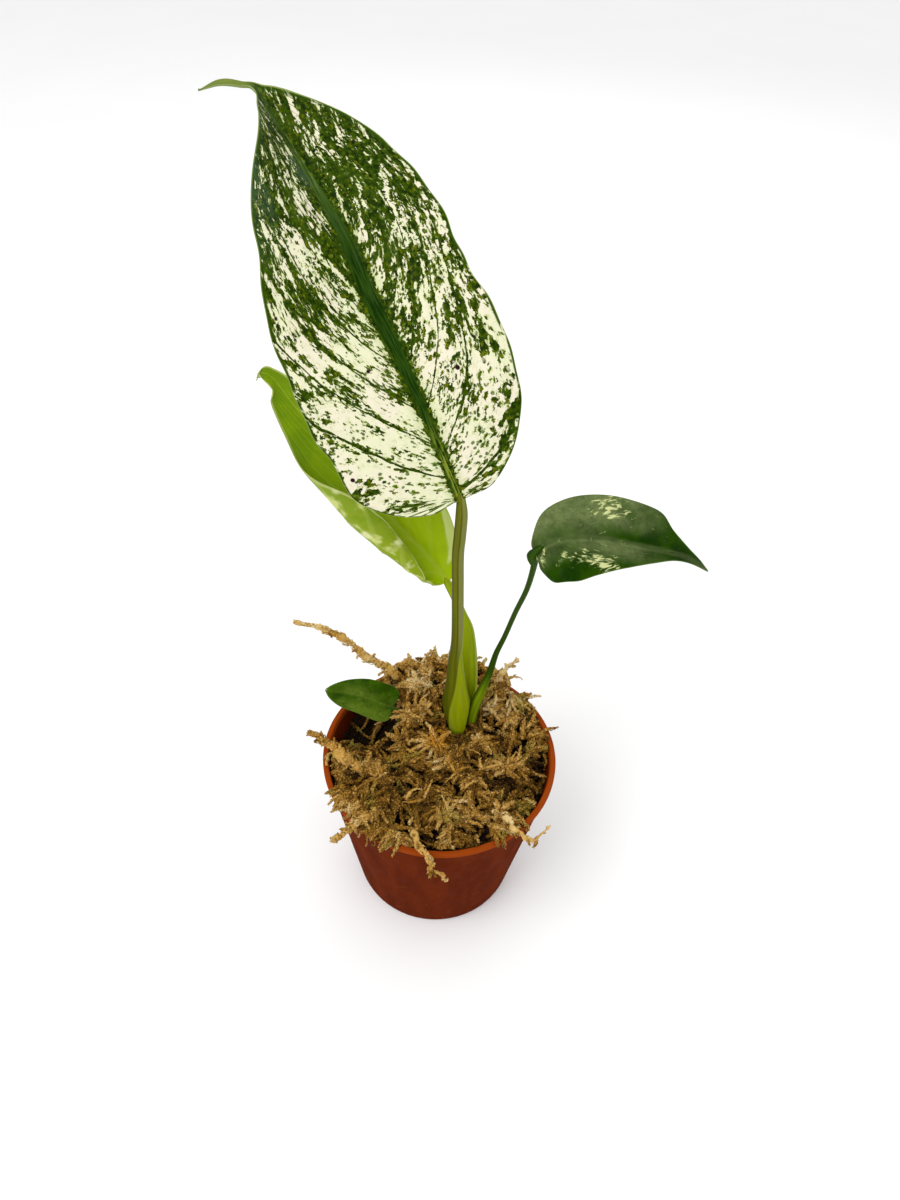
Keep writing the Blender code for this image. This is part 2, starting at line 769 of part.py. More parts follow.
class Sheet:
    """A leaf blade: flat positions (along the midrib, across it) bent into space."""

    def __init__(self, leaf):
        self.leaf = leaf
        path = smooth_path(leaf["midrib"], np.linspace(0, 1, PATH_STEPS))
        steps = np.linalg.norm(np.diff(path, axis=0), axis=1)
        self.arc = np.concatenate([[0], np.cumsum(steps)])
        self.length = self.arc[-1]
        self.path = path
        forward = unit(np.gradient(path, axis=0))
        place = self.arc / self.length
        # Averaged over a stretch of the midrib, so that a sharp bend can't fold the blade over itself.
        near = np.abs(self.arc[:, None] - self.arc[None, :]) < BEND_SPREAD
        forward = unit(near @ forward / near.sum(axis=1)[:, None])
        face = smooth_path(leaf["face"], place)
        face = unit(face - (face * forward).sum(axis=1)[:, None] * forward)
        side = np.cross(forward, face)
        twist = np.radians(self.along("twist", place))[:, None]
        self.face = face * np.cos(twist) + side * np.sin(twist)
        self.side = side * np.cos(twist) - face * np.sin(twist)

    def along(self, key, place):
        values = self.leaf[key]
        return np.interp(place, np.linspace(0, 1, len(values)), values)

    def read(self, table, along):
        return np.stack([np.interp(along, self.arc, table[:, axis]) for axis in range(3)], axis=-1)

    def bend(self, along, across):
        """The place in space of each flat position. Across is negative on the left."""
        inside = np.clip(along, 0, self.length)
        place = inside / self.length
        forward = unit(self.read(np.gradient(self.path, axis=0), inside))
        middle = self.read(self.path, inside) + (along - inside)[:, None] * forward
        out = np.zeros_like(across)
        up = np.zeros_like(across)
        for step in range(BEND_STEPS):
            reach = np.abs(across) * (step + 0.5) / BEND_STEPS
            left = np.interp(reach, REACH, self.leaf["turn_left"])
            right = np.interp(reach, REACH, self.leaf["turn_right"])
            turn = np.where(across < 0, left, right) * self.along("rolled", place)
            turn = np.radians(turn + self.along("fold", place))
            out += np.cos(turn) * np.abs(across) / BEND_STEPS
            up += np.sin(turn) * np.abs(across) / BEND_STEPS
        sideways = (np.sign(across) * out)[:, None] * self.read(self.side, inside)
        return middle + sideways + up[:, None] * self.read(self.face, inside)


def margin_points(margin, rows):
    """Points along the margin's curve, from the leaf's base to its tip and closer there."""
    curve = smooth_path(margin, np.linspace(0, 1, PATH_STEPS))
    steps = np.linalg.norm(np.diff(curve, axis=0), axis=1)
    arc = np.concatenate([[0], np.cumsum(steps)])
    at = arc[-1] * (1 - (1 - np.arange(rows + 1) / rows) ** TIP_CROWDING)
    return np.stack([np.interp(at, arc, curve[:, axis]) for axis in range(2)], axis=-1)


def vein_starts(ends, length):
    """Where each vein leaves the midrib: behind its end by the sweep, never out of order."""
    behind = ends[:, 0] - SWEEP * ends[:, 1]
    lowest = int(np.argmin(behind))
    behind[:lowest] = behind[lowest]
    start = VEIN_EASE * np.logaddexp(0, behind / VEIN_EASE) + VEIN_STEP * np.arange(len(behind))
    start -= start[0]
    return start * length / start[-1]


def vein_grid(leaf, sheet):
    """Flat positions of rows that leave the midrib as its veins do and sweep to the margins."""
    rows = leaf["rows"]
    fractions = np.array(COLUMNS)
    left = margin_points(leaf["left"], rows)
    right = margin_points(leaf["right"], rows)
    start = vein_starts((left + right) / 2, sheet.length)
    power = 1 + VEIN_CURVE * np.clip(start / VEIN_FAN, 0, 1)[:, None]
    grid = []
    for ends, sign in ((left, -1), (right, 1)):
        along = start[:, None] + (ends[:, :1] - start[:, None]) * fractions**power
        across = sign * ends[:, 1:] * fractions
        grid.append(np.stack([along, across], axis=-1))
    return np.concatenate([grid[0][:, :0:-1], grid[1]], axis=1)


def blade(name, leaf, look):
    """The blade as a sheet of triangles that a Solidify modifier thickens on its underside."""
    sheet = Sheet(leaf)
    grid = vein_grid(leaf, sheet)
    rows = leaf["rows"]
    columns = grid.shape[1]
    middle = len(COLUMNS) - 1
    flat = [grid[0, middle]]
    flat += [spot for row in grid[1:rows] for spot in row]
    flat.append(grid[rows, middle])
    flat = np.array(flat)
    points = sheet.bend(flat[:, 0], flat[:, 1])
    last = len(points) - 1
    faces = []
    for column in range(columns - 1):
        faces.append((0, 1 + column + 1, 1 + column))
        faces.append((last, last - columns + column, last - columns + column + 1))
        for row in range(rows - 2):
            low = 1 + row * columns + column
            high = low + columns
            if column < middle:
                faces.append((low, low + 1, high))
                faces.append((low + 1, high + 1, high))
            else:
                faces.append((low, low + 1, high + 1))
                faces.append((low, high + 1, high))
    mesh = bpy.data.meshes.new(name)
    mesh.from_pydata([tuple(point) for point in points], [], faces)
    mesh.shade_smooth()
    mesh.materials.append(material(look))
    item = bpy.data.objects.new(name, mesh)
    bpy.context.scene.collection.objects.link(item)
    rib = item.vertex_groups.new(name="rib")
    for number, (along, across) in enumerate(flat):
        weight = math.exp(-((across / RIB_REACH) ** 2)) * (1 - RIB_FADE * along / sheet.length)
        rib.add([number], max(0.0, min(1.0, weight)), "REPLACE")
    thicken = item.modifiers.new("thickness", "SOLIDIFY")
    thicken.thickness = RIB
    thicken.offset = -1.0
    thicken.vertex_group = rib.name
    thicken.thickness_vertex_group = BLADE / RIB
    thicken.use_even_offset = False
    return item


def main():
    clear_scene()
    build_pot()
    build_mix()
    build_stem()
    build_moss()
    stalk("big_stalk", BIG_STALK, BIG_STALK_WIDTH, BIG_STALK_DEPTH, "big_stalk_green")
    stalk("young_stalk", YOUNG_STALK, YOUNG_STALK_WIDTH, YOUNG_STALK_DEPTH, "young_stalk_green")
    stalk("low_stalk", LOW_STALK, LOW_STALK_WIDTH, LOW_STALK_DEPTH, "low_stalk_green")
    stalk("small_stalk", SMALL_STALK, SMALL_STALK_WIDTH, SMALL_STALK_DEPTH, "low_stalk_green")
    blade("big_leaf", BIG_LEAF, "streaked_blade")
    blade("young_leaf", YOUNG_LEAF, "lime_blade")
    blade("low_leaf", LOW_LEAF, "dark_blade")
    blade("small_leaf", SMALL_LEAF, "small_blade")


main()
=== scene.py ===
import math

import bpy
import numpy as np
from mathutils import Matrix


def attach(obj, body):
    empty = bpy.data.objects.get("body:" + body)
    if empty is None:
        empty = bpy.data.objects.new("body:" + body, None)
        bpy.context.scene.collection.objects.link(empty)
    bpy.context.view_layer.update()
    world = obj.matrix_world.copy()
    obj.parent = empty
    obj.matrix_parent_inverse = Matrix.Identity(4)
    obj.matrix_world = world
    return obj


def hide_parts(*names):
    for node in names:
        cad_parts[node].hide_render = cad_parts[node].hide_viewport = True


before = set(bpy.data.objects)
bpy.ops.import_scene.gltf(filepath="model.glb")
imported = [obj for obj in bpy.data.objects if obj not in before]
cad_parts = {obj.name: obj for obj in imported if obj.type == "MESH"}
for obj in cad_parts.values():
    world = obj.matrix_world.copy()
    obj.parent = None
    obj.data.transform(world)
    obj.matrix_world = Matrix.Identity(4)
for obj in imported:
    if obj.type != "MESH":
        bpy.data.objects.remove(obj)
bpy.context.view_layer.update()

# The finished look of a young streaked monstera in a small nursery pot: leaf blades, leafstalks,
# moss and pot. Lengths are metres, but the tables of places and a name in _mm are millimetres.

MM = 0.001
TURN = 2 * math.pi
WAVES = 8
SOFT_GLOW = {"Subsurface_Weight": 0.05, "Subsurface_Scale": 0.001}

# Camera and floor: the camera's pitch and roll are degrees, its lens and film millimetres
CAMERA_PLACE = (0.0006, -0.1639, 0.2778)
CAMERA_PITCH = 43.9
CAMERA_ROLL = 3.1
CAMERA_LENS = 27
CAMERA_FILM = 36
FLOOR_HALF = 3.0

# Pot
RIM_RADIUS = 0.035
POT_HEIGHT = 0.0565
FOOT_RADIUS = 0.0255
WALL = 0.0010
FLOOR = 0.0015
LIP_HEIGHT = 0.0014
LIP_OUT = 0.0006
LIP_ROUND = 0.0004
FOOT_ROUND = 0.0008
FOOT_RECESS = 0.0006
RECESS_RADIUS = 0.0225
WALL_SLOPE = (RIM_RADIUS - LIP_OUT - FOOT_RADIUS) / POT_HEIGHT
DRAIN_RADIUS = 0.0019
DRAIN_CIRCLE = 0.0150
DRAINS = 6
POT_SIDES = 200

# Moss: the mound's level, how far the bed lies under it and where the potting mix ends, and each
# swell's or hollow's centre x, centre y, height and reach
BED_LEVEL = POT_HEIGHT - 0.0006
BED_SUNK = 0.0030
MIX_TOP = 0.0440
SWELLS = (
    (0, 25, 8.5, 13), (18, 21, 6.5, 10), (-15, 25.5, 3.5, 6), (-10, 10.5, 4, 4.2), (0, -8, 2, 12),
    (-14, -16, 2, 9),
)
HOLLOWS = (
    (-24, 8.5, -9, 8), (30.5, -4.5, -6.5, 5), (-4.5, -11, -4.8, 4), (12.3, -15.7, -4.2, 3.6),
    (16.5, 9, -4.5, 3.4),
)
# Where the leafstalks stand in the moss: centre x, centre y and reach
STALK_PLACES = ((4.7, 7.7, 3.6), (7.7, 13.3, 2.2), (10.3, 9.6, 1.6))
# The clearing under the small leaf: its middle, and the height that the moss keeps below there
CLEARING_X = -0.0255
CLEARING_TOP = 0.0595
# How far the moss stays off the pot's wall
CLEAR_OF_WALL = 0.0004
# Layers of moss stems: how many places, the radius that they fill and how far each is shifted, then
# how far the hollows may drop the moss there and the least distance from the clearing
RUNNERS = ((300, 0.0325, 0.0010), (0.0045, 0.0))
TUFTS = ((150, 0.0318, 0.0011), (0.0022, 0.0070))
TIPS = ((56, 0.0310, 0.0025), (0.0020, 0.0085))
# The depth of the runners' layer, and each fan's stems and half its spread in radians
RUNNER_LAYER = 0.0024
FAN_STEMS = 8
FAN_SPREAD = 1.2
# Tufts start this far under the mound, and lie flatter past this height over their foot
TUFT_SUNK = 0.0022
TUFT_HEIGHT = 0.0040
# Star-shaped moss heads: centre x, centre y, arm length, tone and number of arms
HEADS = (
    (-1.6, 1.9, 7, 0.8, 14), (11.5, 3, 4.5, 0.7, 10), (-12, 3, 4.6, 0.55, 9), (-10.5, 9.5, 4.6, 0.6, 10),
    (-6, 13, 4.4, 0.66, 9), (5, -4, 4.2, 0.5, 9), (20, -6, 4.4, 0.66, 9), (-17, -12, 4.8, 0.58, 10),
    (2, -23, 4.2, 0.64, 9), (18, -20, 4, 0.72, 8), (-8, 21, 4.2, 0.66, 9), (20, 12, 4.2, 0.6, 9),
)
# The middle of the one ochre head
EMBER = (-1, 2.5)
# Where pale curled tips stand in threes
PALE_TIPS = ((-10.5, -0.5), (8.2, 0.5), (5.4, -8.5), (-3.5, -17.7), (13, -6))
# Where moss leans over the lip: from and to these turns in degrees, and the number of stems
FRINGE = ((-152, -108, 76), (-62, -40, 12), (66, 128, 34), (32, 42, 2))
# Long loose moss stems: radius, leaves on each span, and the points they run through from the root out
LOOSE_STEMS = {
    "back_left": (
        2, 30,
        ((-11, 23, 57), (-16.5, 26.2, 62), (-25.3, 28, 67.2), (-32.8, 28, 74.7), (-38.8, 28, 78.2),
         (-46.2, 28, 80)),
    ),
    "over_front_rim": (
        1.2, 6,
        ((-6.2, -26.5, 54.5), (-5.8, -30, 59), (-4, -34.5, 60), (-1.5, -37.5, 58.7), (-0.6, -38, 54.5),
         (2.5, -37.5, 50.5), (4, -37, 48)),
    ),
    "front_right_hook": (
        1.2, 3,
        ((17.5, -20.5, 55), (20, -24, 58.8), (22.2, -26.5, 59), (25.2, -28.3, 57.5), (28.2, -28, 56),
         (31.8, -26.2, 60.7)),
    ),
    "left_tuft": (2.3, 36, ((-21.5, -9, 55), (-29, -5.5, 60), (-35, -1.5, 61.2), (-39, 1, 61))),
    "front_left_clump": (
        1.5, 26,
        ((-16.5, -22, 56), (-19.5, -25.8, 59.8), (-23.5, -29.8, 60), (-26.8, -31.8, 57.8), (-29, -31, 55)),
    ),
    "back_right_stub": (1.5, 10, ((15, 21.5, 58), (18, 22, 69), (22.5, 22, 75.5))),
    "back_spike": (0.8, 6, ((-4, 22, 59), (-4.5, 24, 68), (-6, 23.5, 74.5))),
}

# Oval patches on the blades: centre along, centre across, half length on the line of the side
# veins, half width, and how much greener (above 0) or creamier (below 0) it is there
BIG_PATCHES = (
    (52, 3.5, 9, 4.5, 0.15), (80, 9, 10, 6, 0.05), (57, -15, 12, 2.2, 0.2), (81, -11, 4, 2, 0.14),
    (62, -4.5, 6, 1.8, 0.22), (90, -8, 7, 3, 0.08), (36, 6, 10, 2, 0.1), (28, 16, 9, 2, 0.1),
    (12, 12, 8, 2.5, 0.08), (4, -14, 9, 1.5, 0.16), (10, -20, 8, 1.5, 0.12), (24, -20, 9, 3, 0.1),
    (36, -16, 9, 3, 0.12), (22, -12, 13, 6, -0.11), (64, -13.4, 8, 2.6, -0.16), (66, -2.6, 6, 1.3, -0.18),
    (75, -7, 8, 2, -0.14), (40, 11.6, 10, 2, -0.09), (56, 17.4, 6, 2.5, -0.08), (10, 6, 7, 4, -0.12),
)
# On the other two blades a high patch is creamier
YOUNG_PATCHES = ((10, 9, 7, 1.3, 1), (14, 11.5, 7, 1.2, 0.9), (6, 5.5, 4, 0.7, 0.7))
LOW_PATCHES = (
    (18.5, -10, 4.5, 0.9, 1.6), (18.9, -7.7, 4.5, 0.9, 1.6), (21.1, -6.5, 3.5, 0.8, 1.6),
    (18, 6.4, 6, 2.2, 1.15), (14, 5, 3, 1.4, 0.9), (7.8, 4.8, 2.4, 1.9, 1), (1.2, 2.4, 2.2, 1.6, 1.1),
    (2.5, 0.5, 1.6, 1, 1),
)

# Leafstalks, from the blade down: path, then half width and half depth along it
STALK_SIDES = 28
STALK_EXTRA = 13
BIG_STALK = (
    (2, 8.3, 145.2), (2.3, 8.3, 141), (2.2, 8.5, 134), (2, 8.7, 127.7), (2.4, 8.9, 117), (3.2, 9, 97.3),
    (3.1, 9, 88), (3.6, 8.5, 78), (4, 8, 69.5), (4.8, 7.5, 60.2), (5, 7.8, 52),
)
BIG_STALK_WIDTH = (1.15, 1.5, 1.55, 1.55, 1.6, 1.7, 2.1, 3, 4.1, 2.7, 1.8)
BIG_STALK_DEPTH = (1, 1.4, 1.5, 1.5, 1.6, 1.7, 1.8, 2, 2.3, 2.1, 1.6)
YOUNG_STALK = (
    (-0.2, 20.2, 106.8), (2.2, 18.6, 102.5), (4.5, 17, 98.1), (6.2, 15.7, 93.7), (6.7, 14.6, 86.5),
    (7, 14, 79.2), (7.4, 13.6, 70), (7.3, 13.4, 61), (7.4, 13, 52),
)
YOUNG_STALK_WIDTH = (1.1, 1.1, 1.2, 1.6, 2.4, 2.8, 2.7, 2.3, 1.8)
YOUNG_STALK_DEPTH = (1.1, 1.1, 1.2, 1.4, 1.7, 1.8, 1.8, 1.6, 1.4)
LOW_STALK = (
    (20.3, -2, 139.6), (19.5, -2.2, 138.2), (19.9, -2, 136.4), (20.3, -1.6, 134.5), (19.7, 1, 124.4),
    (17.8, 3.5, 113.5), (16, 5.8, 102.1), (14.3, 7.5, 93.1), (13.2, 8.6, 84.1), (11.7, 9.2, 76.5),
    (10.2, 9.4, 69.5), (9.3, 9.6, 63), (9.2, 9.8, 52),
)
LOW_STALK_WIDTH = (0.9, 1.3, 1.1, 0.8, 0.7, 0.68, 0.7, 0.8, 1, 1.3, 1.6, 1.5, 1.2)
SMALL_STALK = (
    (-14.8, 11.2, 61.7), (-11.5, 11, 59.6), (-6.5, 11, 56.6), (-1, 10.8, 54.4), (1.5, 10.5, 52.9),
)
SMALL_STALK_WIDTH = (0.8, 0.7, 0.7, 0.8, 0.9)

# Side veins of the big blade: how steeply they start at these places along it, left and right, what
# the steepness gains with (along x reach) squared, and the length over which it grows towards the tip
VEIN_PLACES = (0.0, 15.0, 50.0)
VEIN_START = ((0.36, 1.16, 1.87), (0.13, 1.05, 1.42))
VEIN_TURN = (0.55e-6, 6.0e-6)
FULL_LENGTH = (216.0, 192.0)
FULL_WIDTH = 23.0
VEIN_STEPS = 30
# Rows of the flat grid: how far they sweep forward, how they curve and how they crowd at the tip
SWEEP = 0.8
ROW_CURVE = 0.35
ROW_FAN = 0.012
ROW_EASE = 0.003
ROW_STEP = 0.0004
TIP_CROWDING = 1.25
COLUMN_CROWDING = 1.2
# The bent sheet: how far to each side its direction is averaged along the midrib, the steps from the
# midrib out in which it is rolled, and the steps of a smooth line
BEND_SPREAD = 0.006
BEND_STEPS = 12
PATH_STEPS = 400
# Relief of a blade in millimetres: the groove on its midrib, the line and ridge on a side vein, the
# swells between them, its unevenness, its thickness and the rib under its midrib
GROOVE_MM, LINE_MM, RIDGE_MM = 0.30, 0.10, 0.12
SWELL_MM, UNEVEN_MM = 0.16, 0.10
THICK_MM, RIB_MM = 0.42, 0.85
# Blades. The midrib is a path in space, and the face is the way the upper side looks along it. A
# margin is (along, across) on the flat blade. The turn is how far the left and right half have
# rolled towards the upper side, in degrees, at each REACH from the midrib, and it is multiplied by
# rolled along the blade. Fold and twist are degrees along the blade.
# The scale is the blade's half width over the big blade's, and veins_mm the space between veins.
REACH = (0.0, 0.005, 0.010, 0.015, 0.020, 0.030)
BIG_LENGTH_MM = 117.0
YOUNG_LENGTH_MM = 76.0
BIG_LEAF = {
    "midrib": (
        (1.7, 8, 145.7), (-5.7, 13, 161.7), (-13.1, 19, 175.3), (-20.8, 26, 187), (-27.7, 34, 197.8),
        (-35, 42, 205.4), (-42.5, 50, 213.1), (-48.3, 57, 219), (-52.3, 58, 219.7), (-57.2, 58, 219.7),
        (-61.6, 57, 218.4),
    ),
    "face": ((0.1, -0.95, 0.35), (0.12, -0.9, 0.45), (0.15, -0.8, 0.6), (0.1, -0.72, 0.68)),
    "fold": (4, 9, 12, 18, 30, 20),
    "twist": (-8, -8, 0, 16, 36, 36),
    "turn": ((0, -2, -6, -10, -14, -18),) * 2,
    "rolled": (1, 1),
    "left": (
        (0, 0), (0.1, 2.2), (-1.2, 8), (2, 17.5), (9, 24.2), (20, 25.2), (25.5, 26.2), (33, 25.7),
        (48, 24.3), (64, 21.1), (80, 16.3), (92, 8.7), (100, 3), (104.5, 1.2), (111, 1), (117.1, 0),
    ),
    "right": (
        (0, 0), (0.1, 2.2), (1.5, 9.2), (8, 16.2), (18, 21.9), (32, 24), (46, 22.6), (62, 22.7),
        (76, 20.7), (88, 16.8), (96, 11.3), (101, 4), (104.5, 1.2), (111, 1), (117.1, 0),
    ),
    "rows": 30,
    "scale": 1,
    "veins_mm": 9.5,
}
YOUNG_LEAF = {
    "midrib": (
        (-0.3, 20, 107.7), (-7, 24, 114.7), (-20.3, 28.5, 127.2), (-32.3, 31.5, 141.2),
        (-42.2, 33.5, 154.3), (-46.6, 34.2, 160.6), (-49.4, 33.8, 161.8), (-50.4, 32.8, 160),
    ),
    "face": ((0.1, -0.92, 0.4), (0.12, -0.9, 0.42), (0.12, -0.85, 0.45)),
    "fold": (6, 6, 4, 0),
    "twist": (0, 0, 0),
    "turn": ((0, 20, 72, 162, 215, 240), (0, 6, 16, 28, 40, 50)),
    "rolled": (6, 2.3, 1.65, 1.4, 1.22, 1.1, 1, 1, 1, 1, 1, 1, 1, 1, 1, 1, 1),
    "left": (
        (0, 0), (1, 3), (4.2, 8), (8.5, 11.8), (14, 15), (21.5, 18.2), (29.5, 19.7), (39, 17.4),
        (48, 12.9), (56, 8.3), (64, 5.5), (70.5, 3.6), (74.5, 2.2), (75.7, 0),
    ),
    "right": (
        (0, 0), (0.2, 1.6), (1.2, 5), (8, 9.8), (17, 14.5), (28, 16.5), (40, 15), (52, 11.2), (61, 6.8),
        (69, 3.4), (74, 1.8), (75.7, 0),
    ),
    "rows": 20,
    "scale": 0.7,
    "veins_mm": 6.5,
}
LOW_LEAF = {
    "midrib": (
        (20.3, -2, 138.9), (23.6, -2, 142.3), (28.1, -1, 143), (33.2, 0, 142.5), (38.2, 1, 141.4),
        (43.4, 2, 139.7), (48.9, 3, 137.9), (54.4, 4.5, 135.6), (59.9, 6.5, 132.1), (65.9, 9, 126.6),
    ),
    "face": ((0, -0.55, 0.83), (0, -0.5, 0.85), (0.1, -0.45, 0.85), (0.3, -0.4, 0.8)),
    "fold": (8, 10, 14, 20),
    "twist": (0, 0),
    "turn": ((0, -4, -12, -22, -30, -40),) * 2,
    "rolled": (1, 1),
    "left": (
        (0, 0), (-0.2, 2), (1.8, 4.6), (5.8, 8), (12.2, 10.5), (20, 11.3), (28, 10.8), (33.5, 9.4),
        (37.2, 5.6), (43, 2.5), (49, 1.1), (53.2, 0),
    ),
    "right": (
        (0, 0), (0.1, 1.9), (-0.6, 4.2), (1.8, 8.8), (8.5, 10.6), (15, 9.2), (23, 6.7), (31, 4), (38, 2),
        (46, 1), (53.2, 0),
    ),
    "rows": 18,
    "scale": 0.42,
    "veins_mm": 4.5,
}
SMALL_LEAF = {
    "midrib": (
        (-15.2, 11.3, 62.1), (-19.5, 11.3, 64), (-24.6, 12.5, 65), (-30, 14.1, 64.5), (-35.6, 16.2, 63),
    ),
    "face": ((0, -0.45, 0.9), (0, -0.45, 0.9)),
    "fold": (8, 10),
    "twist": (0, 0),
    "turn": ((0, -8, -20, -30, -40, -50),) * 2,
    "rolled": (1, 1),
    "left": ((0, 0), (-0.1, 1.8), (0.2, 4), (3, 5.4), (10, 5.2), (15.8, 4.5), (20.3, 2.6), (23.2, 0)),
    "right": ((0, 0), (-0.2, 2), (-1, 4.4), (1.8, 6.4), (8.8, 6.1), (15.2, 4.5), (20.3, 2.2), (23.2, 0)),
    "rows": 10,
    "scale": 0.2,
    "veins_mm": 3,
}


# Surfaces


def unit(rows):
    """Each vector over its own length."""
    return rows / np.maximum(np.linalg.norm(rows, axis=-1, keepdims=True), 1e-12)


def squared(guide, forward):
    """The part of the guide that is square to the forward direction, as a unit vector."""
    return unit(guide - (forward * guide).sum(axis=-1, keepdims=True) * forward)


def metres(table):
    """A table of millimetres in metres."""
    return np.array(table, float) * MM


def run_along(line):
    """How far along its line each point lies."""
    return np.concatenate([[0], np.cumsum(np.linalg.norm(np.diff(line, axis=0), axis=1))])


def read_rows(places, known, rows):
    """Rows that are given at known places, read between them."""
    return np.stack([np.interp(places, known, column) for column in rows.T], axis=-1)


def smooth_path(points, places):
    """The smooth curve through the points (Catmull-Rom), read at places from 0 to 1."""
    known = np.asarray(points, float)
    known = np.vstack([2 * known[0] - known[1], known, 2 * known[-1] - known[-2]])
    spans = len(known) - 3
    at = np.clip(places, 0, 1) * spans
    first = np.minimum(at.astype(int), spans - 1)
    part = (at - first)[:, None]
    before, start, end, after = (known[first + step] for step in range(4))
    return 0.5 * (
        2 * start
        + (end - before) * part
        + (2 * before - 5 * start + 4 * end - after) * part**2
        + (3 * start - before - 3 * end + after) * part**3
    )


def ripples(x, y, size, seed):
    """A smooth random field of about -1 to 1: a sum of sine waves, each sin(k.x + phase), of
    random direction and phase, with wavelengths of 0.6 to 1.7 times the size."""
    rng = np.random.default_rng(seed)
    total = np.zeros(np.broadcast(x, y).shape)
    for _ in range(WAVES):
        angle = rng.uniform(0, TURN)
        length = size * rng.uniform(0.6, 1.7)
        phase = rng.uniform(0, TURN)
        total += np.sin((x * np.cos(angle) + y * np.sin(angle)) * TURN / length + phase)
    return total / math.sqrt(WAVES)


def bump(distance, reach):
    """A bell curve: exp(-(distance / reach) squared)."""
    return np.exp(-((distance / reach) ** 2))


def add_object(name, data):
    """An object with this mesh, lamp or camera, linked into the scene."""
    made = bpy.data.objects.new(name, data)
    bpy.context.scene.collection.objects.link(made)
    return made


def put_piece(name, points, faces, look, values=None, node=None):
    """A piece with these corners and faces (arrays of corner numbers, one array for quads and one
    for triangles), turned so that its volume, the sum of p0.(p1 x p2) / 6, is positive."""
    total = 0.0
    for group in faces:
        for last in range(2, group.shape[1]):
            a, b, c = (points[group[:, side]] for side in (0, last - 1, last))
            total += np.einsum("ij,ij->", a, np.cross(b, c))
    if total < 0:
        faces = [group[:, ::-1] for group in faces]
    mesh = bpy.data.meshes.new(name)
    mesh.from_pydata(points.tolist(), [], [face for group in faces for face in group.tolist()])
    mesh.shade_smooth()
    for key, value in (values or {}).items():
        kind, part = ("FLOAT", "value") if value.ndim == 1 else ("FLOAT_VECTOR", "vector")
        mesh.attributes.new(key, kind, "POINT").data.foreach_set(part, value.astype(np.float32).ravel())
    mesh.materials.append(look)
    piece = add_object(name, mesh)
    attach(piece, "root")
    if node:
        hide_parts(node)
    return piece


def tube_faces(count, rings, sides):
    """Corner numbers of tubes whose corners lie strand by strand, ring by ring, with a pole at
    each end of every strand after its rings."""
    edge = np.arange(sides)
    after = (edge + 1) % sides
    low = np.arange(rings - 1)[:, None] * sides
    quads = np.stack([low + edge, low + after, low + sides + after, low + sides + edge], axis=-1)
    last = (rings - 1) * sides
    start = np.stack([after, edge, np.full(sides, rings * sides)], axis=-1)
    end = np.stack([last + edge, last + after, np.full(sides, rings * sides + 1)], axis=-1)
    shift = (np.arange(count) * (rings * sides + 2))[:, None, None]
    return [(quads.reshape(-1, 4) + shift).reshape(-1, 4), (np.vstack([start, end]) + shift).reshape(-1, 3)]


def strands(paths, widths, depths, guide, flute, end=0.8):
    """Closed tubes, one for each path. Ring k is c + f (w cos a) s + f (d sin a) t, with centre c,
    half width w, half depth d and flute f, where s is the guide squared to the path and
    t = path x s. The poles stand out by 0.5 of the first width and by this share of the last."""
    count, rings, _ = paths.shape
    sides = flute.shape[-1]
    forward = unit(np.gradient(paths, axis=1))
    side = squared(guide[:, None], forward)
    third = np.cross(forward, side)
    angles = np.arange(sides) * TURN / sides
    wide = (widths[:, :, None] * flute * np.cos(angles))[..., None] * side[:, :, None]
    deep = (depths[:, :, None] * flute * np.sin(angles))[..., None] * third[:, :, None]
    skin = (paths[:, :, None] + wide + deep).reshape(count, rings * sides, 3)
    root = paths[:, :1] - forward[:, :1] * widths[:, :1, None] * 0.5
    tip = paths[:, -1:] + forward[:, -1:] * widths[:, -1:, None] * end
    return np.concatenate([skin, root, tip], axis=1).reshape(-1, 3), tube_faces(count, rings, sides)


# Materials


def both_ways(operation):
    """An operator and its reflected form, which add a Math node."""
    return (
        lambda value, other: value.look.math(operation, value, other),
        lambda value, other: value.look.math(operation, other, value),
    )


class Value:
    """One output of a node. Arithmetic on it adds Math nodes."""

    __add__, __radd__ = both_ways("ADD")
    __sub__, __rsub__ = both_ways("SUBTRACT")
    __mul__, __rmul__ = both_ways("MULTIPLY")
    __truediv__, __rtruediv__ = both_ways("DIVIDE")
    __pow__, __rpow__ = both_ways("POWER")

    def __init__(self, look, socket):
        self.look = look
        self.socket = socket

    def math(self, operation, *others):
        return self.look.math(operation, self, *others)

    def most(self, other):
        return self.math("MAXIMUM", other)

    def least(self, other):
        return self.math("MINIMUM", other)

    def size(self):
        return self.math("ABSOLUTE")

    def parts(self):
        made = self.look.tree.nodes.new("ShaderNodeSeparateXYZ")
        self.look.tree.links.new(self.socket, made.inputs[0])
        return [Value(self.look, output) for output in made.outputs]

    def step(self, low, high, start=0.0, end=1.0):
        """A smooth step from start to end as the value goes from low to high."""
        inputs = {0: self, 1: low, 2: high, 3: start, 4: end}
        return self.look.node("ShaderNodeMapRange", {"interpolation_type": "SMOOTHSTEP"}, inputs)

    def fall(self, low, high, start=1.0):
        """A smooth step from start down to 0."""
        return self.step(low, high, start, 0.0)


def tint(screen):
    """A screen colour of 0 to 255 as linear light: ((c + 0.055) / 1.055) to the power 2.4, and
    c / 12.92 in the darkest part. A colour from a node stays as it is."""
    if isinstance(screen, Value):
        return screen
    share = np.array(screen) / 255
    light = np.where(share <= 0.04045, share / 12.92, ((share + 0.055) / 1.055) ** 2.4)
    return (*light.tolist(), 1.0)


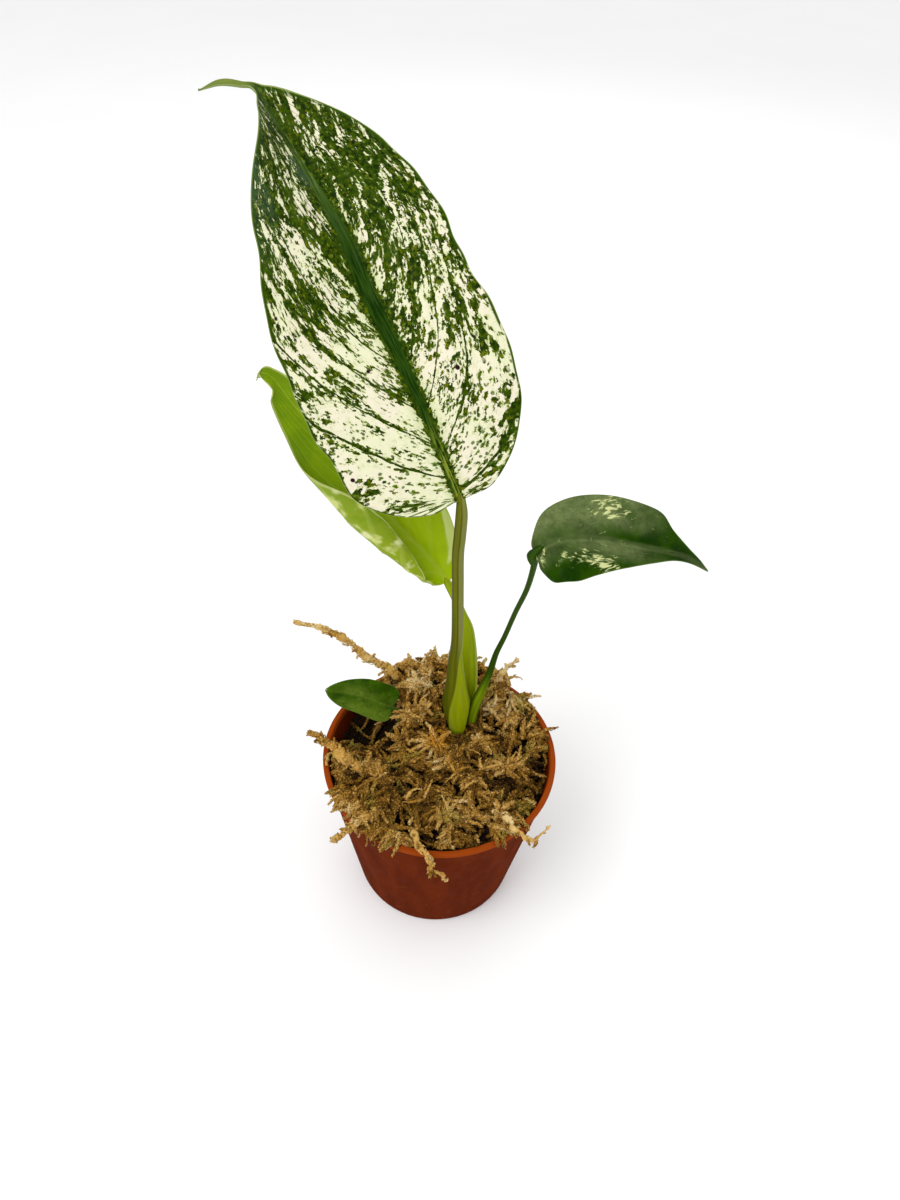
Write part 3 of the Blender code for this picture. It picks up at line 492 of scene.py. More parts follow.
class Look:
    """A material being made: its nodes feed one Principled shader, and it holds the colour so far."""

    def __init__(self, name, **constants):
        self.made = bpy.data.materials.new(name)
        self.made.use_nodes = True
        self.tree = self.made.node_tree
        self.shader = self.tree.nodes["Principled BSDF"]
        self.colour = None
        for key, value in constants.items():
            self.shader.inputs[key.replace("_", " ")].default_value = value

    def node(self, kind, settings, inputs, output=0):
        """A node of one kind: its settings first, then the values or links of its sockets."""
        made = self.tree.nodes.new(kind)
        for key, value in settings.items():
            if key == "stops":
                self.stops(made.color_ramp, value)
            else:
                setattr(made, key, value)
        for key, value in inputs.items():
            if isinstance(value, Value):
                self.tree.links.new(value.socket, made.inputs[key])
            else:
                made.inputs[key].default_value = value
        return Value(self, made.outputs[output])

    def stops(self, ramp, stops):
        while len(ramp.elements) < len(stops):
            ramp.elements.new(0.5)
        for element, (place, colour) in zip(ramp.elements, stops):
            element.position = place
            element.color = tint(colour)

    def math(self, operation, *inputs):
        return self.node("ShaderNodeMath", {"operation": operation}, dict(enumerate(inputs)))

    def attribute(self, name, output=2):
        return self.node("ShaderNodeAttribute", {"attribute_name": name}, {}, output)

    def parts(self, name):
        return self.attribute(name, 1).parts()

    def of_blade(self):
        """A blade's values: lane, run and number of the vein, place along and across, distance
        from the margin, 1 on the lower face, and bias."""
        return *self.parts("lane"), *self.parts("flat"), self.attribute("under"), self.attribute("bias")

    def place(self):
        """Object coordinates in millimetres."""
        return self.scaled(self.node("ShaderNodeTexCoord", {}, {}, 3), (1000, 1000, 1000))

    def scaled(self, vector, scale):
        return self.node("ShaderNodeVectorMath", {"operation": "MULTIPLY"}, {0: vector, 1: scale})

    def vector(self, x, y, z=0.0):
        return self.node("ShaderNodeCombineXYZ", {}, {0: x, 1: y, 2: z})

    def noise(self, where, scale=1.0, detail=2.0, roughness=0.5, distortion=0.0):
        """Noise at a place, which may be a tuple of its parts."""
        where = self.vector(*where) if isinstance(where, tuple) else where
        inputs = {"Vector": where, "Scale": scale, "Detail": detail}
        inputs |= {"Roughness": roughness, "Distortion": distortion}
        return self.node("ShaderNodeTexNoise", {}, inputs)

    def cells(self, where, scale=1.0, feature="F1", output=0):
        """The distance from the nearest of many scattered points."""
        inputs = {"Vector": where, "Scale": scale}
        return self.node("ShaderNodeTexVoronoi", {"feature": feature}, inputs, output)

    def chance(self, where):
        """A random number of the nearest scattered point."""
        return self.cells(where, output=1).parts()[0]

    def dots(self, where, sizes, soft):
        """Dots round the scattered points. A point's chance gives its dot's radius."""
        return (self.cells(where) - self.chance(where).step(*sizes)).fall(*soft)

    def mix(self, share, first, second):
        settings = {"data_type": "RGBA", "clamp_factor": True}
        return self.node("ShaderNodeMix", settings, {0: share, 6: tint(first), 7: tint(second)}, 2)

    def lay(self, share, colour):
        """Lays a colour over the one so far, by its share."""
        self.colour = self.mix(share, self.colour, colour)

    def ramp(self, value, *stops):
        return self.node("ShaderNodeValToRGB", {"stops": stops}, {0: value})

    def relief(self, height, depth_mm, strength):
        """A height from 0 to 1 raises the surface by up to the depth."""
        inputs = {"Strength": strength, "Distance": depth_mm * MM, "Height": height}
        return self.node("ShaderNodeBump", {}, inputs)

    def feed(self, **values):
        """Links the colour so far and these values to the shader."""
        for key, value in {"Base_Color": self.colour, **values}.items():
            self.tree.links.new(value.socket, self.shader.inputs[key.replace("_", " ")])
        return self.made


# Leaf blades


class Sheet:
    """A leaf blade: flat positions (along the midrib, across it) bent into space. A point is
    m + x side + y face, where x and y are the sums of cos and sin of the turn along its reach."""

    def __init__(self, leaf):
        self.leaf = leaf
        self.path = smooth_path(metres(leaf["midrib"]), np.linspace(0, 1, PATH_STEPS))
        self.arc = run_along(self.path)
        self.length = self.arc[-1]
        self.forward = unit(np.gradient(self.path, axis=0))
        place = self.arc / self.length
        near = np.abs(self.arc[:, None] - self.arc[None, :]) < BEND_SPREAD
        forward = unit(near @ self.forward / near.sum(axis=1)[:, None])
        face = squared(smooth_path(leaf["face"], place), forward)
        side = np.cross(forward, face)
        twist = np.radians(self.along("twist", place))[:, None]
        self.face = face * np.cos(twist) + side * np.sin(twist)
        self.side = side * np.cos(twist) - face * np.sin(twist)

    def along(self, key, place):
        values = self.leaf[key]
        return np.interp(place, np.linspace(0, 1, len(values)), values)

    def read(self, rows, along):
        return read_rows(along, self.arc, rows)

    def bend(self, along, across):
        inside = np.clip(along, 0, self.length)
        place = inside / self.length
        forward = unit(self.read(self.forward, inside))
        middle = self.read(self.path, inside) + (along - inside)[:, None] * forward
        out = np.zeros_like(across)
        up = np.zeros_like(across)
        for step in range(BEND_STEPS):
            reach = np.abs(across) * (step + 0.5) / BEND_STEPS
            turn = np.where(across < 0, *(np.interp(reach, REACH, side) for side in self.leaf["turn"]))
            turn = np.radians(turn * self.along("rolled", place) + self.along("fold", place))
            out += np.cos(turn) * np.abs(across) / BEND_STEPS
            up += np.sin(turn) * np.abs(across) / BEND_STEPS
        sideways = (np.sign(across) * out)[:, None] * self.read(self.side, inside)
        return middle + sideways + up[:, None] * self.read(self.face, inside)


def margin_points(margin, rows):
    """Points along the margin's curve, from the leaf's base to its tip and closer there."""
    curve = smooth_path(metres(margin), np.linspace(0, 1, PATH_STEPS))
    arc = run_along(curve)
    return read_rows(arc[-1] * (1 - (1 - np.arange(rows + 1) / rows) ** TIP_CROWDING), arc, curve)


def row_starts(ends, length, step):
    """Where each row leaves the midrib: behind its end by the sweep, never out of order."""
    behind = ends[:, 0] - SWEEP * ends[:, 1]
    lowest = int(np.argmin(behind))
    behind[:lowest] = behind[lowest]
    start = ROW_EASE * np.logaddexp(0, behind / ROW_EASE) + step * np.arange(len(behind))
    start -= start[0]
    return start * length / start[-1]


def flat_grid(leaf, length, rows, columns):
    """Flat positions of rows that sweep from the midrib to both margins: row start plus
    (end - start) f to a power, with f from 0 at the midrib to 1 at the margin."""
    fractions = np.linspace(0, 1, columns + 1) ** COLUMN_CROWDING
    left, right = (margin_points(leaf[side], rows) for side in ("left", "right"))
    start = row_starts((left + right) / 2, length, ROW_STEP * leaf["rows"] / rows)[:, None]
    power = 1 + ROW_CURVE * np.clip(start / ROW_FAN, 0, 1)
    sides = []
    for ends, sign in ((left, -1), (right, 1)):
        along = start + (ends[:, :1] - start) * fractions**power
        across, edge = sign * ends[:, 1:] * fractions, (1 - fractions) * ends[:, 1:]
        sides.append(np.stack([along, across, edge], axis=-1))
    return np.concatenate([sides[0][:, :0:-1], sides[1]], axis=1)


def vein_slope(along, reach, left):
    """How far a vein climbs for each step away from the midrib: (s + t (a b)^2) / (1 - (a / l)^2)
    at a along and b away. The start s grows from the leaf's base, and s, t and l differ by side."""
    ahead = np.maximum(along, 0)
    start = np.where(left, *(np.interp(ahead, VEIN_PLACES, side) for side in VEIN_START))
    slope = start + np.where(left, *VEIN_TURN) * (ahead * reach) ** 2
    return np.clip(slope / (1 - np.minimum(ahead / np.where(left, *FULL_LENGTH), 0.9) ** 2), 0, 9)


def vein_lanes(leaf, along_mm, across_mm, edge_mm, seed):
    """Where each flat place lies among the veins: the midrib place that its vein leaves from,
    traced back along the slope in small steps, the distance along the vein, and the vein's
    number. Behind the first vein they fan out of the base, so the place is over the reach."""
    scale = leaf["scale"]
    reach = np.abs(across_mm)
    left = across_mm < 0
    wide = FULL_WIDTH * reach / np.maximum(reach + edge_mm, 6 * scale)
    start = along_mm / scale
    step = wide / VEIN_STEPS
    run = np.zeros_like(reach)
    for number in range(VEIN_STEPS):
        away = wide - step * (number + 0.5)
        slope = vein_slope(start - vein_slope(start, away, left) * step / 2, away, left)
        start = start - slope * step
        run += np.hypot(reach / VEIN_STEPS, slope * step * scale)
    start = start * scale
    lane = np.where(start < 0, 12 * scale * start / np.maximum(reach, 2 * scale), start)
    rng = np.random.default_rng(seed)
    number = np.arange(-8, 24)
    numbers = []
    for _ in range(2):
        knots = (number + rng.uniform(-0.22, 0.22, len(number)) + 0.4) * leaf["veins_mm"]
        numbers.append(np.interp(lane, knots, number))
    return lane, run, np.where(left, *numbers)


def crowding(along_mm, across_mm, lane):
    """The steepness of the lanes over a grid of flat places, as its logarithm to base 2."""
    (a_row, a_column), (b_row, b_column), (l_row, l_column) = (
        np.gradient(grid) for grid in (along_mm, across_mm, lane)
    )
    area = a_row * b_column - a_column * b_row
    area = np.where(np.abs(area) < 1e-4, 1e-4, area)
    along = (l_row * b_column - l_column * b_row) / area
    across = (l_column * a_row - l_row * a_column) / area
    return np.log2(np.clip(np.hypot(along, across), 1.0, 30.0))


def patch_bias(patches, along_mm, across_mm, scale):
    """The sum of oval bells. Each has its centre (along, across), a half length on the line that
    the side veins take there, a half width across that line, and a height."""
    total = np.zeros_like(along_mm)
    for centre_along, centre_across, length, width, height in patches:
        slope = float(vein_slope(centre_along / scale, abs(centre_across) / scale, centre_across < 0))
        ahead, aside = np.array([slope, math.copysign(1.0, centre_across)]) / math.hypot(slope, 1.0)
        off_along, off_across = along_mm - centre_along, across_mm - centre_across
        on_line = off_along * ahead + off_across * aside
        off_line = off_across * ahead - off_along * aside
        total += height * bump(on_line, length) * bump(off_line, width)
    return total


def blade(name, leaf, look, rows, columns, node, seed, patches=(), puff=1.0, wave_mm=0.0):
    """A blade with two faces and a thin rim. The upper face is the bent sheet plus a relief:
    a groove on the midrib, shallow lines on the side veins and soft swells between them. The
    lower face lies a thickness below it, with a rib under the midrib and ridges under the veins."""
    sheet = Sheet(leaf)
    scale = leaf["scale"]
    along, across, edge = np.moveaxis(flat_grid(leaf, sheet.length, rows, columns), -1, 0)
    reach = np.abs(across)
    wave = wave_mm * MM * ripples(along / MM, np.sign(across), 9 * scale, seed + 5)
    across = across + np.sign(across) * wave * (reach / (reach + edge + 1e-6)) ** 2
    points = sheet.bend(along.ravel(), across.ravel()).reshape(*along.shape, 3)
    flat = np.stack([along, across, edge], axis=-1) / MM
    lane, run, number = vein_lanes(leaf, *np.moveaxis(flat, -1, 0), seed)
    place = np.clip(along / sheet.length, 0, 1)
    off_vein = np.abs(number - np.round(number)) * leaf["veins_mm"]
    fade = np.clip((1 - place) / 0.25, 0, 1) * np.clip(edge / (0.002 * scale), 0, 1)
    groove = -GROOVE_MM * bump(reach / MM, 0.8 + 0.5 * scale) * (1 - place)
    lines = -LINE_MM * bump(off_vein, 0.55) * fade
    raised = puff * SWELL_MM * (1 - bump(off_vein, 0.28 * leaf["veins_mm"])) * fade
    uneven = puff * UNEVEN_MM * ripples(lane, run, 7 * scale, seed + 1) * fade
    upper = (groove + lines + raised + uneven) * MM
    rib = RIB_MM * bump(reach / MM, 1.1 * scale**0.5) * (1 - 0.8 * place)
    rim = 1 - 0.6 * bump(edge / MM, 0.35)
    thick = (THICK_MM * rim + rib * scale**0.5 + RIDGE_MM * bump(off_vein, 0.4) * fade) * MM
    normal = unit(np.cross(np.gradient(points, axis=0), np.gradient(points, axis=1)))
    normal[0], normal[-1] = normal[1], normal[-2]
    if (normal[rows // 2, columns] * sheet.read(sheet.face, [sheet.length / 2])[0]).sum() < 0:
        normal = -normal
    top = points + normal * upper[..., None]
    bottom = points + normal * (upper - thick)[..., None]

    def flatten(grid):
        """A grid's rows as one list, with one corner each for the base and the tip."""
        inner = grid[1:-1].reshape(-1, *grid.shape[2:])
        return np.concatenate([grid[:1, columns], inner, grid[-1:, columns]])

    corners = 2 * columns + 1
    below = (rows - 1) * corners + 2
    last = below - 1
    low = (1 + np.arange(rows - 2) * corners)[:, None] + np.arange(corners - 1)
    quads = np.stack([low, low + 1, low + corners + 1, low + corners], axis=-1).reshape(-1, 4)
    step = np.arange(corners - 1)
    base = np.stack([np.zeros_like(step), 2 + step, 1 + step], axis=-1)
    tip = np.stack([np.full_like(step, last), last - corners + step, last - corners + step + 1], axis=-1)
    rim_row = 1 + np.arange(rows - 1) * corners
    loop = np.concatenate([[0], rim_row, [last], (rim_row + corners - 1)[::-1]])
    after = np.roll(loop, -1)
    wall = np.stack([after, loop, loop + below, after + below], axis=-1)
    faces = [
        np.vstack([quads, quads[:, ::-1] + below, wall]),
        np.vstack([base, tip, base[:, ::-1] + below, tip[:, ::-1] + below]),
    ]
    values = {
        "lane": np.tile(flatten(np.stack([lane, run, number], axis=-1)), (2, 1)),
        "flat": np.tile(flatten(flat), (2, 1)),
        "bias": np.tile(flatten(patch_bias(patches, flat[..., 0], flat[..., 1], scale)), 2),
        "crowd": np.tile(flatten(crowding(flat[..., 0], flat[..., 1], lane)), 2),
        "under": np.repeat([0.0, 1.0], below),
    }
    put_piece(name, np.vstack([flatten(top), flatten(bottom)]), faces, look, values, node)


def vein_lines(look, number, run, spacing_mm, wide_mm):
    """How far a place is from the nearest side vein, and 1 on the vein and 0 beside it."""
    wobble = look.noise((number * 1.3, run * 0.12), detail=1.0) - 0.5
    off = ((number + wobble * 0.16 + 0.5).math("FRACT") - 0.5).size() * spacing_mm
    return off, off.fall(wide_mm * 0.4, wide_mm)


def streaked_look():
    """Cream blade with green flecks. A score is green where it passes 0: it sums a broad noise
    drawn out along the veins, the chances of large and small cells, and what favours green near
    the midrib, the veins, the margin and the tip. The lanes crowd towards the margin, so their
    width halves at each level of crowding, and near the tip the flecks follow the blade instead."""
    look = Look("streaked blade", Specular_IOR_Level=0.03)
    lane, run, number, along, across, edge, under, bias = look.of_blade()
    place = along * (1 / BIG_LENGTH_MM)
    right = across.step(-0.3, 0.3)
    flat = look.vector(along, across)
    loose = look.noise(flat, 0.45, 3, 0.6)
    level = (look.attribute("crowd") + right * 0.45 + (loose - 0.5) * 1.6).math("FLOOR").most(0)
    ahead = (place + (loose - 0.5) * 0.16 - 0.72).math("SIGN").most(0)
    even = (lane + right * 60) * 0.5**level
    even = even + ((across + along * (0.20 - right * 0.36)) * 1.4 - even) * ahead
    steep = level.least(1.0)
    run = run * (0.45 - steep * 0.30) + along * (0.55 + steep * 0.40)
    run = run + (along - run) * ahead
    level = level - level * ahead
    shift, lift = (look.noise((even, run, layer), 1.6, 3, 0.7) - 0.5 for layer in (3.0, 8.0))

    broad = look.noise((even * 0.38, run * 0.085, level), 1, 3, 0.6)
    large = look.vector(even * 0.85 + shift * 1.2, run * 0.36 + lift * 0.8, level * 5)
    small = look.vector(even * 1.8 + shift * 2.0, run + lift * 1.7, level * 5)
    small_chance = look.chance(small)
    off, line = vein_lines(look, number, run, BIG_LEAF["veins_mm"], 0.30)
    broken = look.noise((number * 3, run * 0.3), 1, 3, 0.6).step(0.30, 0.44)
    line = line.most(off.fall(0, 0.5) * right)
    score = (broad - 0.5) * place.step(0.25, 0.60, 1.9, 2.5) + (look.chance(large) - 0.5) * 0.40
    score = score + (small_chance - 0.5) * place.step(0.25, 0.60, 0.62, 0.44)
    score = score - (look.cells(large) - 0.4) * 0.20 - (look.cells(small) - 0.4) * 0.12
    score = score + bias * 1.2 + place.step(0.10, 0.80, -0.145, 0.24) + across.step(0, 9, 0, 0.04)
    score = score + off.fall(0, 1.6, 0.12) + line * broken * 0.6
    score = score + edge.fall(0.3, 2.2, 0.12) * place.fall(0.45, 0.60)
    half = place.step(0.08, 0.42, 0.9, 1.9) * place.step(0.45, 0.80, 1.0, 0.45)
    from_rib = across.size() - half
    score = score + from_rib.fall(-0.4, 1.0, 0.9)

    veil = look.noise(flat, 0.5, 5, 0.65)
    mesh = look.cells(look.vector(even * 0.7 + shift, run * 0.45 + lift), feature="DISTANCE_TO_EDGE")
    look.colour = look.mix(look.noise(flat, 0.07).step(0.40, 0.60), (224, 217, 194), (218, 218, 184))
    look.lay(veil.step(0.50, 0.74) * 0.5, (200, 204, 150))
    look.lay(from_rib.fall(-0.5, 3.0, 0.7), (178, 188, 128))
    look.lay(mesh.fall(0, 0.06, 0.35) * veil.step(0.40, 0.60), (150, 164, 92))
    olive = look.noise(flat, 0.9, 4, 0.7)
    dark = look.mix(olive.step(0.38, 0.62), (18, 36, 0), (52, 74, 0))
    dark = look.mix(small_chance.step(0.80, 0.90) * olive.step(0.42, 0.58) * 0.7, dark, (104, 112, 8))
    dark = look.mix(look.noise(flat, 0.09).step(0.52, 0.66) * 0.4, dark, (66, 88, 10))
    look.lay(score.step(-0.10, 0) * 0.65, (168, 178, 96))
    look.lay(score.step(-0.005, 0.01), (78, 100, 8))
    look.lay(score.step(0.03, 0.09), dark)
    coarse = look.vector(even * 0.50 + shift * 0.3, run * 0.42 + lift * 0.3, level * 5)
    fine = look.vector(even * 1.15 + shift * 0.5, run * 1.05 + lift * 0.5, level * 5 + 2.0)
    coarse = look.dots(coarse, (0.35, 1.0, -0.02, 0.24), (-0.03, 0.02)) * broad.step(0.40, 0.50)
    fine = look.dots(fine, (0.45, 1.0, -0.04, 0.44), (-0.06, 0.04))
    look.lay(coarse, (36, 62, 4))
    look.lay(fine * 0.9, look.mix(olive.step(0.45, 0.55), (44, 70, 6), (96, 118, 48)))

    stripes = look.noise((along * 0.16, across * 2.2), 1, 4, 0.6)
    rib = look.mix(stripes.step(0.40, 0.60), (16, 42, 0), (40, 68, 10))
    rib = look.mix(stripes.step(0.46, 0.54) * place.fall(0.08, 0.20, 0.9), rib, (122, 136, 44))
    rib = look.mix(place.step(0.48, 0.66) * 0.75, rib, (60, 86, 26))
    rib = look.mix(stripes.step(0.50, 0.62) * place.step(0.60, 0.85) * 0.8, rib, (156, 170, 104))
    look.lay((from_rib + shift * 1.2).fall(-0.5, 0) * place.step(0.68, 0.84, 1.0, 0.45), rib)
    dashes = look.noise((lane * 0.8, right * 7), 1, 3)
    look.lay(edge.fall(0.45, 0.8) * dashes.step(0.42, 0.5), (42, 70, 6))
    look.lay(edge.fall(0.08, 0.24, 0.8), (150, 164, 84))
    look.lay(place.step(0.885, 0.92), look.mix(stripes, (66, 88, 20), (138, 150, 72)))
    scorch = look.cells(look.vector(along * 0.095 + 3.0, across * 0.095))
    look.lay(scorch.fall(0.045, 0.065) * place.fall(0.45, 0.55), (40, 8, 24))
    # Painted reflection: a grey-teal sheen laid into the colour on the green of the left half, towards the
    # tip.
    sheen = look.noise((lane * 0.05, run * 0.04), 1, 3).step(0.50, 0.62) * place.step(0.5, 0.8)
    look.lay(sheen * right.fall(0.4, 0.6, 0.4) * score.step(0.03, 0.09), (84, 112, 92))
    look.lay(under * 0.5, (150, 166, 104))
    relief = look.relief(olive * 0.5 - line * 0.4, 0.10, 0.35)
    return look.feed(Roughness=0.36 + olive * 0.12, Normal=relief)


def lime_look():
    """Young blade: lime green above, paler and softly mottled with cream below."""
    look = Look("lime blade", Specular_IOR_Level=0.1, **SOFT_GLOW)
    lane, run, number, along, across, edge, under, bias = look.of_blade()
    place = along * (1 / YOUNG_LENGTH_MM)
    flat = look.vector(along, across)
    _, line = vein_lines(look, number, run, YOUNG_LEAF["veins_mm"], 0.9)
    clouds = look.noise(flat, 0.14, 3, 0.55)
    streaks = look.noise((lane * 0.20, run * 0.10), 1, 4, 0.6)
    look.colour = look.mix(place.step(0.10, 0.80), (158, 184, 0), (106, 138, 4))
    look.lay(clouds.step(0.40, 0.62) * 0.4, (140, 168, 2))
    look.lay(line * 0.12, (176, 190, 70))
    look.lay((bias + (streaks - 0.5) * 1.2).step(0.25, 0.95) * 0.85, (204, 216, 132))
    above = look.colour
    look.colour = look.mix(place.step(0.1, 0.9), (130, 150, 18), (122, 146, 48))
    drawn = look.noise((along * 0.10, across * 0.28), 1, 3, 0.55)
    patches = ((clouds - 0.5) * 1.2 + (drawn - 0.5) * 1.6 + edge.fall(0.5, 4.0, 0.06)).step(0.02, 0.30)
    look.lay(patches * 0.8, (206, 212, 134))
    look.lay(look.cells(flat, 0.16).fall(0.12, 0.3) * clouds.step(0.45, 0.55) * 0.8, (214, 216, 160))
    look.lay((clouds - 0.5).step(-0.02, -0.14, 0.0, 0.7), (112, 140, 14))
    look.lay(line * 0.2, (180, 192, 96))
    look.colour = look.mix(under, above, look.colour)
    look.lay(run.fall(0.5, 1.4, 0.5), (160, 180, 50))
    look.lay(edge.fall(0.15, 0.6, 0.7), (198, 206, 130))
    relief = look.relief(look.noise(flat, 2.4, 3) * 0.5 - line * 0.4, 0.10, 0.35)
    return look.feed(Roughness=0.36 + look.noise(flat, 0.7, 3) * 0.12, Normal=relief)


def dark_look(name, deep, light, sheen, scale):
    """Dark glossy blade with a speckled grey sheen painted into its colour over the half on its left and
    just below the midrib, partly the leaf's waxy coating and partly painted reflection, a painted highlight
    along the midrib, and brushed cream strokes where the bias is high. Its patterns are laid out for a
    blade of scale 1."""
    look = Look(name, Specular_IOR_Level=0.02)
    lane, run, number, along, across, edge, under, bias = look.of_blade()
    ahead, wide = along * (1 / scale), across * (1 / scale)
    flat = look.vector(ahead, wide)
    _, line = vein_lines(look, number, run, 4.5 * scale, 0.35)
    strokes = look.noise((lane * (0.85 / scale), run * (0.50 / scale)), 1, 6, 0.65, 0.8)
    # Painted sheen: where the grey sheen lies, over the left half and a band just below the midrib, fading
    # before the tip; partly waxy coating and partly painted reflection.
    floor = ahead.fall(12, 24, 0.42) * wide.fall(-1, 0)
    bloom_and_sheen = floor + (1 - floor) * wide.fall(-6, -1.5)
    bloom_and_sheen = bloom_and_sheen + wide.step(-0.4, 0.5, 0, 0.9) * wide.fall(2, 6.5)
    bloom_and_sheen = bloom_and_sheen * look.noise(flat, 0.075).step(0.34, 0.58, 0.30, 1.0) * ahead.fall(27, 37)
    speckled = look.noise(flat, 0.7, 4, 0.7).step(0.34, 0.60, 0.55, 0.90)
    look.colour = look.mix(look.noise(flat, 0.16, 3).step(0.38, 0.62), deep, light)
    look.lay(bloom_and_sheen * speckled, sheen)
    look.lay(line * 0.08, light)
    amount = strokes + bias.least(1.0) * 0.20 - 0.02
    look.lay(amount.step(0.60, 0.70) * 0.55, (134, 150, 88))
    look.lay(amount.step(0.66, 0.73) * 0.9, (204, 208, 146))
    # Painted highlight: the sheen colour laid along the midrib.
    look.lay(wide.size().fall(0.4, 1.2, 0.30), sheen)
    look.lay(edge.fall(0.05, 0.25, 0.5), (92, 116, 40))
    look.lay(under * 0.6, (92, 118, 56))
    relief = look.relief(look.noise(flat, 2.8, 3) * 0.5 - line * 0.15, 0.08, 0.35)
    return look.feed(Roughness=0.28 + look.noise(flat, 0.9, 3) * 0.16, Normal=relief)


# Leafstalks


def stalk(name, path, widths, depths, look, node, above, rings=140):
    """A tube with an elliptic section whose half width is w (1 + 0.03 cos(7 a + 1)), so that fine
    ridges run along it. Its top carries on past the stalk's own path, through the points above
    it and thinner, into the blade. The colour knows the way round it and how far along it is."""
    places = np.linspace(0, 1, rings)
    line = smooth_path(metres(path), places)
    halves = smooth_path(metres([widths, depths]).T, places).T
    extra = smooth_path(np.vstack([metres(above), line[:1]]), np.linspace(0, 1, STALK_EXTRA + 1)[:-1])
    line = np.vstack([extra, line])
    taper = np.linspace(0.45, 1, STALK_EXTRA)
    wide, deep = (np.concatenate([half[0] * taper, half])[None] for half in halves)
    angles = np.arange(STALK_SIDES) * TURN / STALK_SIDES
    flute = 1 + 0.03 * np.cos(7 * angles + 1.0)
    points, faces = strands(line[None], wide, deep, np.array([[1.0, 0, 0]]), flute, 0.5)
    run = run_along(line) / MM
    around = np.stack(np.broadcast_arrays(np.cos(angles), np.sin(angles), run[:, None]), axis=-1)
    around = np.vstack([around.reshape(-1, 3), [[0, 0, 0], [0, 0, run[-1]]]])
    put_piece(name, points, faces, look, {"around": around}, node)


def stalk_look(name, top, foot, dark, pale, length_mm, stripe=(0.4, 0.95), sheath=None, turn=(0.45, 0.95)):
    """Stalk skin: its top colour gives way to its foot's over the turn, which is shares of its length.
    Fibres are drawn out along it, its left side is darkened as painted shade, and a pale stripe lies on its
    right. A sheath, if it has one, covers its right side below a slanting edge and all its foot."""
    look = Look(name, Specular_IOR_Level=0.05, **SOFT_GLOW)
    right, back, run = look.parts("around")
    height = look.place().parts()[2]
    fibres = look.noise((right * 4.5, back * 4.5, run * 0.05), 1, 4, 0.6)
    flecks = look.noise((right * 3, back * 3, run * 0.35), 1, 3, 0.6)
    look.colour = look.mix((run / length_mm).step(*turn), top, foot)
    # Painted shade: the stalk's left side is darkened.
    look.lay(right.fall(-1.0, -0.45, 0.75), dark)
    look.lay(fibres.step(0.42, 0.62) * 0.40, dark)
    low_down = height.step(84, 100) if sheath else 1.0
    look.lay((right + (flecks - 0.5) * 0.3).step(*stripe) * 0.75 * low_down, pale)
    look.lay((right - stripe[0]).size().fall(0.04, 0.14, 0.4) * low_down, dark)
    look.lay(flecks.step(0.6, 0.72) * 0.25, pale)
    look.lay(right.step(0.80, 1.0, 0.0, 0.4) * low_down, dark)
    if sheath:
        inside = right - (height * 0.045 - 3.53) + (fibres - 0.5) * 0.12
        wrap = look.mix(fibres.step(0.40, 0.64) * 0.4, sheath, look.mix(0.5, sheath, dark))
        wrap = look.mix(flecks.step(0.52, 0.66) * 0.3, wrap, pale)
        look.lay(inside.step(-0.10, 0.06), wrap)
        look.lay((inside - 0.08).size().fall(0.02, 0.10, 0.2), pale)
    return look.feed(Roughness=0.30 + flecks * 0.18, Normal=look.relief(fibres, 0.12, 0.5))


# Moss


def swells(table, x, y):
    """The sum of the rises, each times a bell curve of the distance from its centre."""
    return sum(
        rise * bump(np.hypot(x - centre_x, y - centre_y), reach)
        for centre_x, centre_y, rise, reach in metres(table)
    )


def mound(x, y):
    """The moss's general height."""
    return BED_LEVEL + swells(SWELLS, x, y) + swells(HOLLOWS, x, y)


def over_mound(points):
    """How far points lie over the mound, in millimetres, and 0 from just inside the rim outwards."""
    x, y, z = np.moveaxis(points, -1, 0)
    return np.where(np.hypot(x, y) > RIM_RADIUS - 0.0015, 0.0, (z - mound(x, y)) / MM)


def from_clearing(x, y, middle_y, stretch):
    """The distance from the middle of the clearing, which is wider along x by the stretch."""
    return np.hypot((x - CLEARING_X) / stretch, y - middle_y)


def open_places(x, y, deep, near):
    """The places where the hollows are less than this deep, that far or more from the clearing."""
    keep = (-swells(HOLLOWS, x, y) < deep) & (from_clearing(x, y, 0.0140, 1.2) > near)
    return x[keep], y[keep]


def wall_inside(height):
    """The pot's inner radius at a height, a little clear of the wall."""
    return FOOT_RADIUS + WALL_SLOPE * height - WALL - CLEAR_OF_WALL


def keep_in_place(paths, widths, free):
    """Strand points are pushed inside the pot's wall, or over its lip where they are free of it,
    and out of the leafstalks, along the line from the axis of each."""
    x, y, z = np.moveaxis(paths, -1, 0)
    radius = np.hypot(x, y)
    out = free[:, None] & (radius > RIM_RADIUS - 0.0030)
    z = np.where(out & (radius < RIM_RADIUS + 0.0012), np.maximum(z, POT_HEIGHT + widths + 0.0003), z)
    limit = np.where(out, 1.0, wall_inside(np.minimum(z, POT_HEIGHT)) - widths)
    shrink = np.where(radius > limit, limit / np.maximum(radius, 1e-6), 1.0)
    x, y = x * shrink, y * shrink
    for centre_x, centre_y, reach in metres(STALK_PLACES):
        away_x, away_y = x - centre_x, y - centre_y
        away = np.maximum(np.hypot(away_x, away_y), 1e-6)
        push = np.where(away < reach + widths, (reach + widths) / away, 1.0)
        x, y = centre_x + away_x * push, centre_y + away_y * push
    under_leaf = bump(from_clearing(x, y, 0.0130, 1.25), 0.0080) > 0.35
    return np.stack([x, y, np.where(under_leaf, np.minimum(z, CLEARING_TOP), z)], axis=-1)


